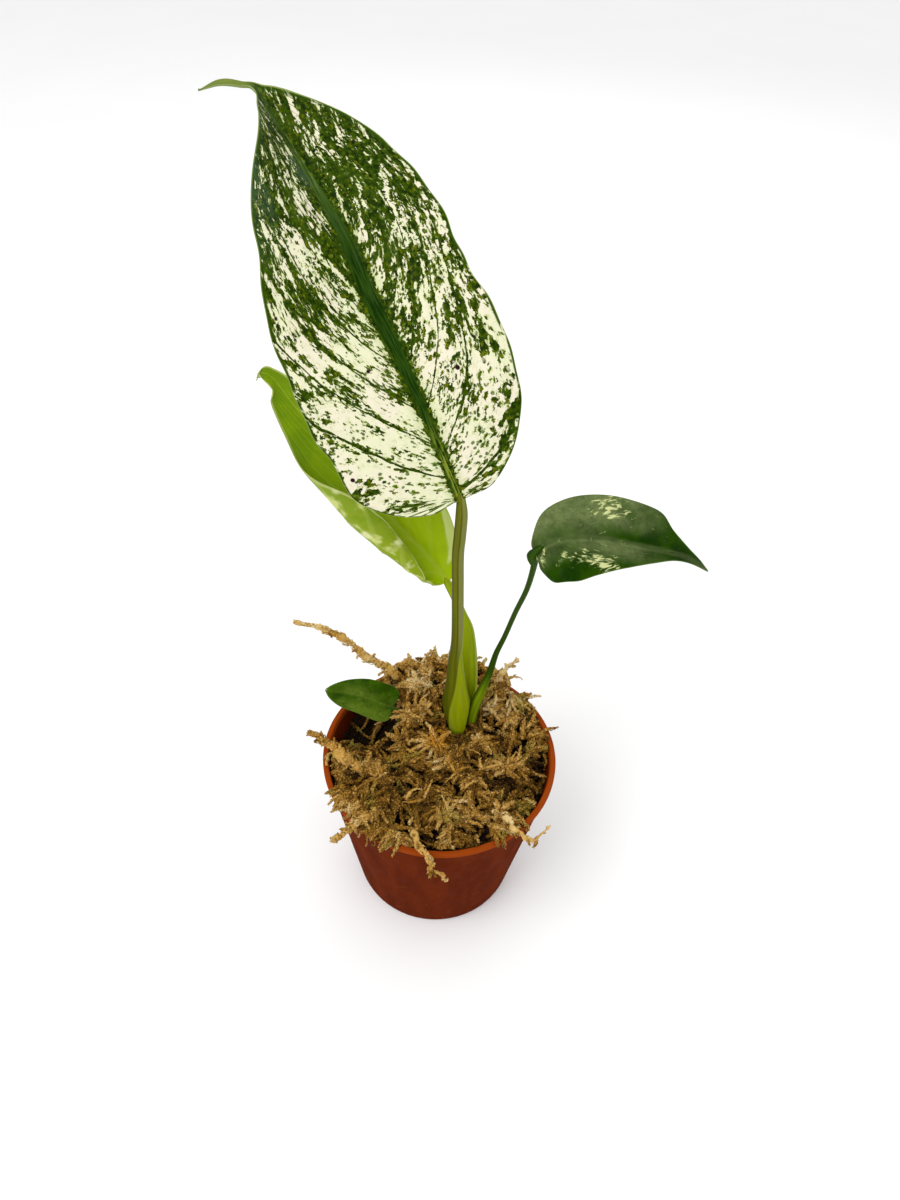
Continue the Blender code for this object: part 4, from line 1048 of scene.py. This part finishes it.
def sprigs(rng, root, heading, slope, length, curl, turn, rings):
    """Paths of short stems. Each starts at its root and goes on in steps of length / (rings - 1)
    along its heading and slope; the slope falls by the curl and the heading turns as it goes."""
    count = len(root)
    place = np.linspace(0, 1, rings)
    pitch = slope[:, None] - curl[:, None] * place + rng.normal(0, 0.10, (count, rings))
    yaw = heading[:, None] + turn[:, None] * place + rng.normal(0, 0.14, (count, rings))
    steps = np.stack([np.cos(pitch) * np.cos(yaw), np.cos(pitch) * np.sin(yaw), np.sin(pitch)], axis=-1)
    steps = steps * (length / (rings - 1))[:, None, None]
    path = root[:, None] + np.cumsum(steps, axis=1) - steps[:, :1]
    return path, np.stack([-np.sin(heading), np.cos(heading), np.zeros(count)], axis=-1)


def scales(paths, widths, guide, each, length, seed):
    """Small pointed leaves on stems, in a spiral of 2.4 radians a leaf. Each is a closed wedge of
    four corners: two on the stem, 0.55 l to each side of its base at 0.75 r w, a keel at
    0.4 r l + 0.25 f l from it and a tip at r l sin o + f l cos o, for the leaf's length l and
    opening o, the stem's half width w and direction f, and the outward direction r."""
    count, rings, _ = paths.shape
    rng = np.random.default_rng(seed)
    shape = (count, each)
    place = (np.arange(each) + 0.5) / each
    at = np.clip(place + rng.uniform(-0.4, 0.4, shape) / each, 0, 1) * (rings - 1)
    first = np.minimum(at.astype(int), rings - 2)
    part = at - first
    row = np.arange(count)[:, None]
    centre = paths[row, first] * (1 - part[..., None]) + paths[row, first + 1] * part[..., None]
    wide = widths[row, first] * (1 - part) + widths[row, first + 1] * part
    forward = unit(paths[row, first + 1] - paths[row, first])
    side = squared(guide[:, None], forward)
    third = np.cross(forward, side)
    turn = (2.4 * np.arange(each) + rng.uniform(0, TURN, (count, 1)) + rng.normal(0, 0.3, shape))[..., None]
    out = side * np.cos(turn) + third * np.sin(turn)
    across = third * np.cos(turn) - side * np.sin(turn)
    reach = (length * (1 - 0.4 * place) * rng.uniform(0.7, 1.3, shape))[..., None]
    opening = rng.uniform(0.15, 0.65, shape)[..., None]
    base = centre + out * wide[..., None] * 0.75
    keel = base + out * reach * 0.40 + forward * reach * 0.25
    tip = base + out * reach * np.sin(opening) + forward * reach * np.cos(opening)
    points = np.stack([base + across * reach * 0.55, base - across * reach * 0.55, keel, tip], axis=2)
    corner = np.arange(count * each)[:, None, None] * 4
    faces = (corner + np.array([[0, 2, 3], [2, 1, 3], [1, 0, 3], [0, 1, 2]])).reshape(-1, 3)
    return points.reshape(-1, 3), faces, np.repeat(at.ravel() / (rings - 1), 4)


def moss_piece(name, look, paths, widths, guide, tone, seed, each, leaf_mm=1.1, sides=5, rough=0.2):
    """Many moss stems in one piece, and their leaves in another. Each corner has the stem's tone, how far
    along the stem it is and its height over the mound, for the colour; the height paints shade below the
    mound."""
    count, rings, _ = paths.shape
    flute = 1 + rough * np.random.default_rng(seed).uniform(-1, 1, (count, rings, sides))
    points, faces = strands(paths, widths, widths * 0.8, guide, flute)
    rows = np.broadcast_arrays(tone[:, None], np.linspace(0, 1, rings), over_mound(paths))
    rows = np.stack(rows, axis=-1)
    rows = np.concatenate([np.repeat(rows, sides, axis=1), rows[:, :1], rows[:, -1:]], axis=1)
    put_piece(name, points, faces, look, {"moss": rows.reshape(-1, 3)})
    points, faces, place = scales(paths, widths, guide, each, leaf_mm * MM, seed + 900)
    rng = np.random.default_rng(seed + 901)
    shade = tone[:, None, None] + rng.normal(0, 0.07, (count, each, 1)) + np.array([0, 0, 0.04, 0.12])
    rows = np.stack([shade.ravel(), place * 0.7, over_mound(points)], axis=-1)
    put_piece(f"{name}_leaves", points, [faces], look, {"moss": rows})


def moss_layer(name, look, rng, root, heading, slope, length_mm, curl, turn, width_mm, shape, tone,
               free=0, settle=None, shorter=1.0, **leaves):
    """Stems from these roots. A pair is a range from which each stem's value is drawn, in the order
    of the arguments. The shape is the width along a stem over its full width. The free share of
    the stems may lean over the lip. Settle changes their heights over the mound."""
    count = len(root)

    def drawn(value):
        return rng.uniform(*value, count) if isinstance(value, tuple) else value

    heading, slope, length, curl, turn = (drawn(value) for value in (heading, slope, length_mm, curl, turn))
    paths, guide = sprigs(rng, root, heading, slope, length * MM * shorter, curl, turn, len(shape))
    if settle:
        level = mound(paths[..., 0], paths[..., 1])
        paths[..., 2] = level + settle(paths[..., 2] - level)
    widths = rng.uniform(*width_mm, (count, 1)) * MM * shape
    if free is not None:
        over = rng.uniform(0, 1, count) < free if 0 < free < 1 else np.full(count, free == 1)
        paths = keep_in_place(paths, widths, over)
    moss_piece(name, look, paths, widths, guide, drawn(tone), **leaves)


def shaped(rings, places, sizes):
    """A stem's width at evenly spaced rings, from its sizes at some places along it."""
    return np.interp(np.linspace(0, 1, rings), places, sizes)


def evenly_spread(rng, count, reach, jitter):
    """Places like a sunflower's seeds: seed k at radius reach sqrt(k / count), turn 2.4 k."""
    number = np.arange(count) + 0.5
    radius = reach * np.sqrt(number / count)
    angle = number * math.pi * (3 - math.sqrt(5))
    shift = rng.normal(0, jitter, (2, count))
    return radius * np.cos(angle) + shift[0], radius * np.sin(angle) + shift[1]


def fans(rng, x, y, tone):
    """Fans of stems: roots near each place, headings spread about one that drifts over the bed."""
    each = FAN_STEMS
    count = len(x) * each
    drift = TURN * 0.45 * ripples(x, y, 0.020, 8) + rng.normal(0, 0.7, len(x))
    root = np.repeat(np.stack([x, y, mound(x, y) - 0.0012], axis=-1), each, axis=0)
    root += rng.normal(0, 1, (count, 3)) * metres([0.8, 0.8, 0.4])
    heading = np.repeat(drift, each) + np.tile(np.linspace(-FAN_SPREAD, FAN_SPREAD, each), len(x))
    heading += rng.normal(0, 0.35, count)
    length_mm = np.repeat(rng.uniform(5.0, 9.5, len(x)), each) * rng.uniform(0.7, 1.2, count)
    return root, heading, length_mm, np.repeat(tone, each) + rng.normal(0, 0.07, count)


def low_runners(height):
    """Heights over the mound kept in a thin layer under it."""
    return np.clip(height, -BED_SUNK, RUNNER_LAYER - BED_SUNK)


def flattened(height):
    """Heights kept above the tufts' foot, and above it drawn together to 0.4 past TUFT_HEIGHT."""
    height = height + TUFT_SUNK
    return np.minimum(np.maximum(height, 0), TUFT_HEIGHT + 0.4 * (height - TUFT_HEIGHT)) - TUFT_SUNK


def grow_moss(look):
    """Layers of stems: dark runners low down, fans of leafy branches, star-shaped heads, pale
    curled tips, and a fringe that leans over the lip."""
    rng = np.random.default_rng(21)
    places, limits = RUNNERS
    x, y = open_places(*evenly_spread(rng, *places), *limits)
    root = np.stack([x, y, mound(x, y) - rng.uniform(1.4, 2.8, len(x)) * MM], axis=-1)
    moss_layer(
        "moss_runners", look, rng, root, (0, TURN), (-0.1, 0.5), (7, 14), (0, 0.8), (-2.2, 2.2),
        (0.35, 0.65), 1 - 0.6 * np.linspace(0, 1, 9) ** 2, (0.05, 0.45),
        settle=low_runners, seed=1, each=20,
    )

    places, limits = TUFTS
    x, y = open_places(*evenly_spread(rng, *places), *limits)
    tone = 0.45 + 0.20 * ripples(x, y, 0.016, 12) + rng.normal(0, 0.10, len(x))
    root, heading, length_mm, tone = fans(rng, x, y, tone)
    moss_layer(
        "moss_tufts", look, rng, root, heading, (0.10, 1.05), length_mm, (0.2, 1.7), (-1.1, 1.1),
        (0.35, 0.75), shaped(8, (0, 0.25, 0.6, 1), (0.8, 1, 0.75, 0.2)), np.clip(tone, 0, 0.92),
        free=0.06, settle=flattened, seed=2, each=26, leaf_mm=1.4,
    )

    stars = []
    for centre_x, centre_y, size_mm, shade, arms in HEADS:
        angle = np.arange(arms) * TURN / arms + rng.normal(0, 0.2, arms)
        x, y = centre_x * MM + 0.0006 * np.cos(angle), centre_y * MM + 0.0006 * np.sin(angle)
        z = np.full(arms, mound(centre_x * MM, centre_y * MM) + 0.0006)
        length_mm = rng.uniform(0.75, 1.2, arms) * size_mm
        stars.append([x, y, z, angle, length_mm, shade + rng.normal(0, 0.08, arms)])
    *root, heading, length_mm, tone = np.concatenate(stars, axis=1)
    moss_layer(
        "moss_heads", look, rng, np.stack(root, axis=-1), heading, (0.35, 1.2), length_mm, (0.6, 1.6),
        (-0.5, 0.5), (0.42, 0.70), shaped(9, (0, 0.3, 1), (0.9, 1, 0.25)), tone,
        seed=3, each=40, leaf_mm=1.3, sides=6,
    )

    places, limits = TIPS
    x, y = evenly_spread(rng, *places)
    threes = np.repeat(metres(PALE_TIPS), 3, axis=0)
    x[: len(threes)], y[: len(threes)] = threes.T
    x, y = open_places(x, y, *limits)
    moss_layer(
        "moss_tips", look, rng, np.stack([x, y, mound(x, y) + 0.0004], axis=-1), (0, TURN), (0.3, 1.3),
        (4.5, 8.5), (0.5, 2.6), (-1.6, 1.6), (0.35, 0.60), shaped(10, (0, 0.2, 0.7, 1), (0.9, 1, 0.5, 0.1)),
        (0.50, 0.86), free=0.12, seed=4, each=8, leaf_mm=1.2, sides=6, rough=0.15,
    )

    angle = np.concatenate([np.radians(rng.uniform(low, high, number)) for low, high, number in FRINGE])
    radius = rng.uniform(0.0295, 0.0325, len(angle))
    x, y = radius * np.cos(angle), radius * np.sin(angle)
    z = np.maximum(mound(x, y), POT_HEIGHT) + rng.uniform(-0.6, 0.8, len(angle)) * MM
    moss_layer(
        "moss_fringe", look, rng, np.stack([x, y, z], axis=-1), angle + rng.normal(0, 0.5, len(angle)),
        (0.15, 0.7), (3.5, 7.0), (0.5, 1.6), (-0.8, 0.8), (0.32, 0.62),
        shaped(9, (0, 0.3, 1), (0.9, 1, 0.25)), (0.35, 0.9), free=1, seed=5, each=30,
    )


def loose_moss(look):
    """Each long loose stem with its knots and leaves, and short side branches along it."""
    rng = np.random.default_rng(5)
    for number, (name, (radius_mm, leaves, path)) in enumerate(LOOSE_STEMS.items()):
        spans = len(path) - 1
        rings = 10 * spans + 1
        place = np.linspace(0, 1, rings)
        line = smooth_path(metres(path), place)
        wander = [
            ripples(place * 30, np.full(rings, axis * 9.0), 7, number * 3 + axis) for axis in range(3)
        ]
        line = line + 0.3 * MM * np.stack(wander, axis=-1) * np.minimum(place * 6, 1)[:, None]
        knots = 1 + 0.25 * np.cos(place * spans * TURN) + 0.2 * np.cos(place * spans * 2.7 * TURN)
        widths = radius_mm * MM * knots * (1 - 0.65 * place) * 0.85
        guide = unit(np.cross(line[-1] - line[0], (0.0, 0.0, 1.0)))[None]
        tone = np.array([0.62 + 0.12 * (number % 3)])
        moss_piece(f"loose_{name}", look, line[None], widths[None], guide, tone, number + 10,
                   leaves * spans, 1.7, 10, 0.14)
        at = rng.uniform(0.05, 0.80, max(1, leaves // 5) * spans)
        along = unit(line[-1] - line[0])
        heading = math.atan2(along[1], along[0]) + rng.normal(0, 1.0, len(at))
        moss_layer(
            f"side_{name}", look, rng, line[(at * (rings - 1)).astype(int)], heading, (-0.6, 0.8),
            (1.6, 3.6), (-0.6, 1.4), (-1.0, 1.0), (0.30, 0.55), shaped(7, (0, 0.4, 1), (1, 0.8, 0.2)),
            (0.4, 0.85), free=None, shorter=1.15 - 0.6 * at, seed=number + 40, each=12,
        )


def moss_look():
    """Dry sphagnum: brown low down, darkened towards near black below the mound as painted shade, straw and
    ochre above, pale at the tips.
    """
    look = Look("dry moss", Roughness=0.9, Specular_IOR_Level=0.15)
    tone, place, sunk = look.parts("moss")
    spot = look.place()
    x, y, _ = spot.parts()
    mottled = look.noise(spot, 1.1, 4, 0.65)
    fine = look.noise(spot, 3.2)
    drift = look.noise(spot, 0.11)
    shade = tone + (mottled - 0.5) * 0.6 + (drift - 0.5) * 0.9 + y.step(4, 20, -0.06, 0.16)
    look.colour = look.ramp(
        shade, (0.0, (48, 28, 6)), (0.25, (90, 62, 16)), (0.48, (146, 104, 34)), (0.68, (192, 149, 72)),
        (0.86, (206, 170, 100)), (1.0, (224, 200, 146)),
    )
    look.lay(look.noise(spot, 0.20).step(0.46, 0.64) * 0.35, (180, 132, 46))
    off_x, off_y = x - EMBER[0], y - EMBER[1]
    ember = (off_x * off_x + off_y * off_y).fall(3, 24, 0.8)
    look.lay(ember * fine.step(0.35, 0.50), (204, 142, 36))
    green = look.noise(look.scaled(spot, (0.14, 0.14, 0.05))).step(0.58, 0.68)
    look.lay(green * 0.35, (138, 138, 52))
    look.lay(place.step(0.78, 1.0) * tone.step(0.3, 0.8) * 0.45, (218, 196, 150))
    # Painted shade: near-black brown laid on wherever the moss lies deeper below the mound.
    look.lay(sunk.fall(-2.8, -0.3, 0.92), (34, 20, 6))
    return look.feed(Normal=look.relief(mottled * 0.5 + fine * 0.6, 0.25, 0.7))


def soil_look():
    """Dark damp crumbs under the moss: brown above and near black in the hollows of their relief, partly
    the soil's own colour and partly painted shade, with pale flecks.
    """
    look = Look("dark bed", Roughness=0.95, Specular_IOR_Level=0.1)
    spot = look.place()
    crumbs = look.cells(spot, 1.1)
    fine = look.noise(spot, 2, 5, 0.7)
    # The ramp follows the relief: its near-black end is painted shade in the hollows as well as the soil's
    # dark brown.
    look.colour = look.ramp(fine, (0.3, (12, 8, 5)), (0.55, (38, 25, 14)), (0.8, (80, 58, 34)))
    look.lay(look.cells(spot, 0.9).fall(0.06, 0.10, 0.6), (170, 140, 96))
    return look.feed(Normal=look.relief(crumbs + fine * 0.6, 0.6, 1.0))


def moss_bed(look):
    """A disc under the stems: its top is the mound less 3 mm plus ripples, its underside flat."""
    rings, sides = 60, 150
    angle = np.arange(sides) * TURN / sides
    around = np.stack([np.cos(angle), np.sin(angle)], axis=-1)
    radius = wall_inside(POT_HEIGHT - 0.004) * np.linspace(0, 1, rings + 1)[1:, None]
    x, y = radius * around[:, 0], radius * around[:, 1]
    lumps = ripples(x, y, 0.0035, 3) * 0.0007 + ripples(x, y, 0.0014, 4) * 0.0004
    z = np.clip(mound(x, y) - BED_SUNK + lumps, MIX_TOP + 0.001, POT_HEIGHT + 0.006)
    z[-1] = np.minimum(z[-1], POT_HEIGHT - 0.0045)
    foot = MIX_TOP + 0.0003
    under = np.column_stack([wall_inside(MIX_TOP) * around, np.full(sides, foot)])
    poles = [[0, 0, mound(0.0, 0.0) - BED_SUNK], [0, 0, foot]]
    points = np.vstack([np.stack([x, y, z], axis=-1).reshape(-1, 3), under, poles])
    quads, ends = tube_faces(1, rings + 1, sides)
    put_piece("moss_bed", points, [np.roll(quads, -1, axis=1), ends], look, node="moss")


# Pot


def turned(name, profile, sides, look, node=None):
    """A solid of revolution: each profile point (r, z) is carried round to (r cos a, r sin a, z).
    The first and last points lie on the axis."""
    radius, height = np.array(profile[1:-1]).T[..., None]
    angles = np.arange(sides) * TURN / sides
    rows = np.broadcast_arrays(radius * np.cos(angles), radius * np.sin(angles), height)
    ends = [[0, 0, profile[0][1]], [0, 0, profile[-1][1]]]
    points = np.vstack([np.stack(rows, axis=-1).reshape(-1, 3), ends])
    return put_piece(name, points, tube_faces(1, len(radius), sides), look, node=node)


def rounded(middle_radius, middle_height, size, start):
    """A quarter circle on the pot's half section, from this angle in degrees."""
    angles = math.radians(start) + np.linspace(0, math.pi / 2, 6)
    return [(middle_radius + size * math.cos(a), middle_height + size * math.sin(a)) for a in angles]


def pot_profile():
    """Round the pot's half section from the middle of its underside, with rounded corners."""
    wall_top = POT_HEIGHT - LIP_HEIGHT
    outer = [(FOOT_RADIUS + WALL_SLOPE * z, z) for z in np.linspace(0.0015, wall_top - 0.0007, 40)]
    downwards = np.linspace(POT_HEIGHT - 0.001, FLOOR + 0.0008, 30)
    inner = [(FOOT_RADIUS + WALL_SLOPE * z - WALL, z) for z in downwards]
    return [
        (0.0, FOOT_RECESS), (0.0080, FOOT_RECESS),
        (RECESS_RADIUS, FOOT_RECESS), (RECESS_RADIUS + 0.0003, 0.0),
        *rounded(FOOT_RADIUS - FOOT_ROUND, FOOT_ROUND, FOOT_ROUND, -90),
        *outer,
        (RIM_RADIUS - LIP_OUT * 0.95, wall_top - 0.0004),
        (RIM_RADIUS - LIP_OUT * 0.35, wall_top - 0.0002),
        (RIM_RADIUS, wall_top + 0.0001),
        *rounded(RIM_RADIUS - LIP_ROUND, POT_HEIGHT - LIP_ROUND, LIP_ROUND, 0),
        *rounded(RIM_RADIUS - LIP_OUT - WALL + LIP_ROUND, POT_HEIGHT - LIP_ROUND, LIP_ROUND, 90),
        *inner,
        (FOOT_RADIUS - WALL - 0.0008, FLOOR), (0.0, FLOOR),
    ]


def pot_look():
    """Moulded terracotta-coloured plastic: flow marks up the wall, dust and specks, a dark wall that is
    partly painted shade, and a lip painted brighter as a highlight.
    """
    look = Look("terracotta plastic", Specular_IOR_Level=0.0, Coat_Roughness=0.35)
    spot = look.place()
    z = spot.parts()[2]
    flow = look.noise(look.scaled(spot, (0.16, 0.16, 0.03)), 1, 4, 0.55)
    dust = look.noise(spot, 0.30, 5, 0.65)
    specks = look.cells(spot, 0.55).fall(0.05, 0.08) * look.noise(spot, 0.2, 1).step(0.5, 0.6)
    # The wall's dark red-brown is partly the plastic's own colour and partly painted shade.
    look.colour = look.mix(flow.step(0.35, 0.65), (84, 27, 3), (97, 34, 5))
    # Painted highlight: the lip is laid lighter and more orange.
    look.lay(z.step(POT_HEIGHT / MM - 1.9, POT_HEIGHT / MM - 1.2), (142, 60, 12))
    look.lay(dust.step(0.54, 0.74) * z.step(0, 60, 0.20, 0.05), (150, 104, 72))
    look.lay(specks * 0.6, (60, 32, 16))
    grain = look.noise(spot, 3, 3) * 0.35 + flow * 0.65
    return look.feed(
        Roughness=0.34 + dust.step(0.35, 0.75) * 0.18,
        Coat_Weight=dust.step(0.35, 0.75, 0.06, 0.01),
        Normal=look.relief(grain, 0.10, 0.3),
    )


def drill_drains(pot):
    """Cuts the drainage holes through the pot's floor and applies the cut."""
    shape = [(0.0, -0.002), (DRAIN_RADIUS, -0.002), (DRAIN_RADIUS, 0.004), (0.0, 0.004)]
    for number in range(DRAINS):
        angle = TURN * number / DRAINS
        drill = turned(f"drill_{number}", shape, 40, pot.data.materials[0])
        place = (DRAIN_CIRCLE * math.cos(angle), DRAIN_CIRCLE * math.sin(angle), 0)
        drill.data.transform(Matrix.Translation(place))
        cut = pot.modifiers.new("drain", "BOOLEAN")
        cut.solver = "EXACT"
        cut.object = drill
        graph = bpy.context.evaluated_depsgraph_get()
        mesh = bpy.data.meshes.new_from_object(pot.evaluated_get(graph))
        pot.modifiers.clear()
        pot.data = mesh
        bpy.data.objects.remove(drill, do_unlink=True)
    pot.data.shade_smooth()
    pot.data.set_sharp_from_angle(angle=math.radians(38))


# Studio


def stand(item, place, right, up, back):
    """Puts a lamp or the camera at its place, with its own axes along these directions."""
    item.matrix_world = Matrix([*np.column_stack([right, up, back, place]).tolist(), (0, 0, 0, 1)])


def studio():
    """A pale floor, a broad soft light above the left shoulder, a fill at the right and one behind."""
    mesh = bpy.data.meshes.new("floor")
    corners = [(-FLOOR_HALF, -FLOOR_HALF, 0), (FLOOR_HALF, -FLOOR_HALF, 0)]
    corners += [(FLOOR_HALF, FLOOR_HALF, 0), (-FLOOR_HALF, FLOOR_HALF, 0)]
    mesh.from_pydata(corners, [], [(0, 1, 2, 3)])
    floor = add_object("floor", mesh)
    paper = Look("pale floor", Roughness=0.9)
    paper.colour = paper.mix(paper.noise(paper.place(), 0.01), (248, 248, 248), (252, 252, 252))
    mesh.materials.append(paper.feed())
    world = bpy.data.worlds.new("pale room")
    world.use_nodes = True
    world.node_tree.nodes["Background"].inputs[0].default_value = (1.0, 1.0, 1.0, 1.0)
    world.node_tree.nodes["Background"].inputs[1].default_value = 0.92
    bpy.context.scene.world = world
    for name, place, aim, size, power in (
        ("key", (-0.38, -0.30, 0.72), (0.0, 0.02, 0.12), 0.45, 2.6),
        ("fill", (0.65, -0.45, 0.35), (0.0, 0.0, 0.08), 0.6, 0.6),
        ("back", (0.15, 0.75, 0.60), (0.0, 0.0, 0.12), 0.6, 0.8),
    ):
        lamp = bpy.data.lights.new(name, "AREA")
        lamp.energy = power
        lamp.size = size
        back = unit(np.array(place) - np.array(aim))
        side = unit(np.cross((0.0, 0.0, 1.0), back))
        stand(add_object(name, lamp), place, side, np.cross(back, side), back)


def camera():
    """The camera stands in front and above, looks down by its pitch and is rolled a little."""
    pitch, roll = math.radians(CAMERA_PITCH), math.radians(CAMERA_ROLL)
    back = np.array([0.0, -math.cos(pitch), math.sin(pitch)])
    level_up = np.array([0.0, math.sin(pitch), math.cos(pitch)])
    level_right = np.array([1.0, 0.0, 0.0])
    right = level_right * math.cos(roll) + level_up * math.sin(roll)
    up = level_up * math.cos(roll) - level_right * math.sin(roll)
    lens = bpy.data.cameras.new("camera")
    lens.lens = CAMERA_LENS
    lens.sensor_width = CAMERA_FILM
    lens.clip_start = 0.01
    item = add_object("camera", lens)
    stand(item, CAMERA_PLACE, right, up, back)
    bpy.context.scene.camera = item


camera()
studio()
bpy.context.scene.view_settings.view_transform = "Standard"

pot = turned("pot_body", pot_profile(), POT_SIDES, pot_look(), "pot")
drill_drains(pot)
dark_bed = soil_look()
moss_bed(dark_bed)
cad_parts["potting_mix"].material_slots[0].material = dark_bed
dry_moss = moss_look()
grow_moss(dry_moss)
loose_moss(dry_moss)

big_green = stalk_look(
    "big stalk skin", (98, 100, 14), (84, 88, 4), (54, 58, 2), (126, 130, 64), 95, (0.05, 0.35),
    sheath=(136, 148, 6),
)
young_green = stalk_look(
    "young stalk skin", (146, 162, 10), (138, 150, 8), (96, 116, 4), (186, 194, 84), 57, (0.7, 1.2)
)
low_green = stalk_look(
    "low stalk skin", (44, 72, 6), (116, 138, 10), (24, 44, 2), (96, 120, 58), 88, (0.7, 1.3),
    turn=(0.66, 0.82),
)
stem_green = stalk_look("stem skin", (120, 130, 60), (110, 120, 50), (80, 90, 40), (160, 165, 100), 20)
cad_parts["stem"].material_slots[0].material = stem_green
stalk("big_petiole", BIG_STALK, BIG_STALK_WIDTH, BIG_STALK_DEPTH, big_green, "big_stalk",
      ((0.6, 10.6, 148.8), (1.4, 9.6, 146.9)))
stalk("young_petiole", YOUNG_STALK, YOUNG_STALK_WIDTH, YOUNG_STALK_DEPTH, young_green, "young_stalk",
      ((-2, 22.6, 109.4), (-1, 21.2, 108)))
stalk("low_petiole", LOW_STALK, LOW_STALK_WIDTH, LOW_STALK_WIDTH, low_green, "low_stalk",
      ((22.6, -1.2, 140.4), (21.4, -1.6, 140.3)))
stalk("small_petiole", SMALL_STALK, SMALL_STALK_WIDTH, SMALL_STALK_WIDTH, low_green, "small_stalk",
      ((-17.2, 11.3, 62.3), (-16, 11.3, 62)), 50)

blade("big_blade", BIG_LEAF, streaked_look(), 170, 42, "big_leaf", 11,
      BIG_PATCHES, wave_mm=0.25)
blade("young_blade", YOUNG_LEAF, lime_look(), 130, 36, "young_leaf", 23,
      YOUNG_PATCHES, puff=0.4)
# The third colour is the grey sheen painted into the dark blade's colour.
dark_green = dark_look("dark blade", (18, 46, 0), (34, 64, 0), (106, 118, 72), 1.0)
blade("low_blade", LOW_LEAF, dark_green, 110, 30, "low_leaf", 31, LOW_PATCHES)
# The third colour is the grey sheen painted into the small blade's colour.
mid_green = dark_look("small dark blade", (34, 60, 0), (50, 78, 2), (84, 104, 26), 0.6)
blade("small_blade", SMALL_LEAF, mid_green, 70, 22, "small_leaf", 41, puff=0.8)
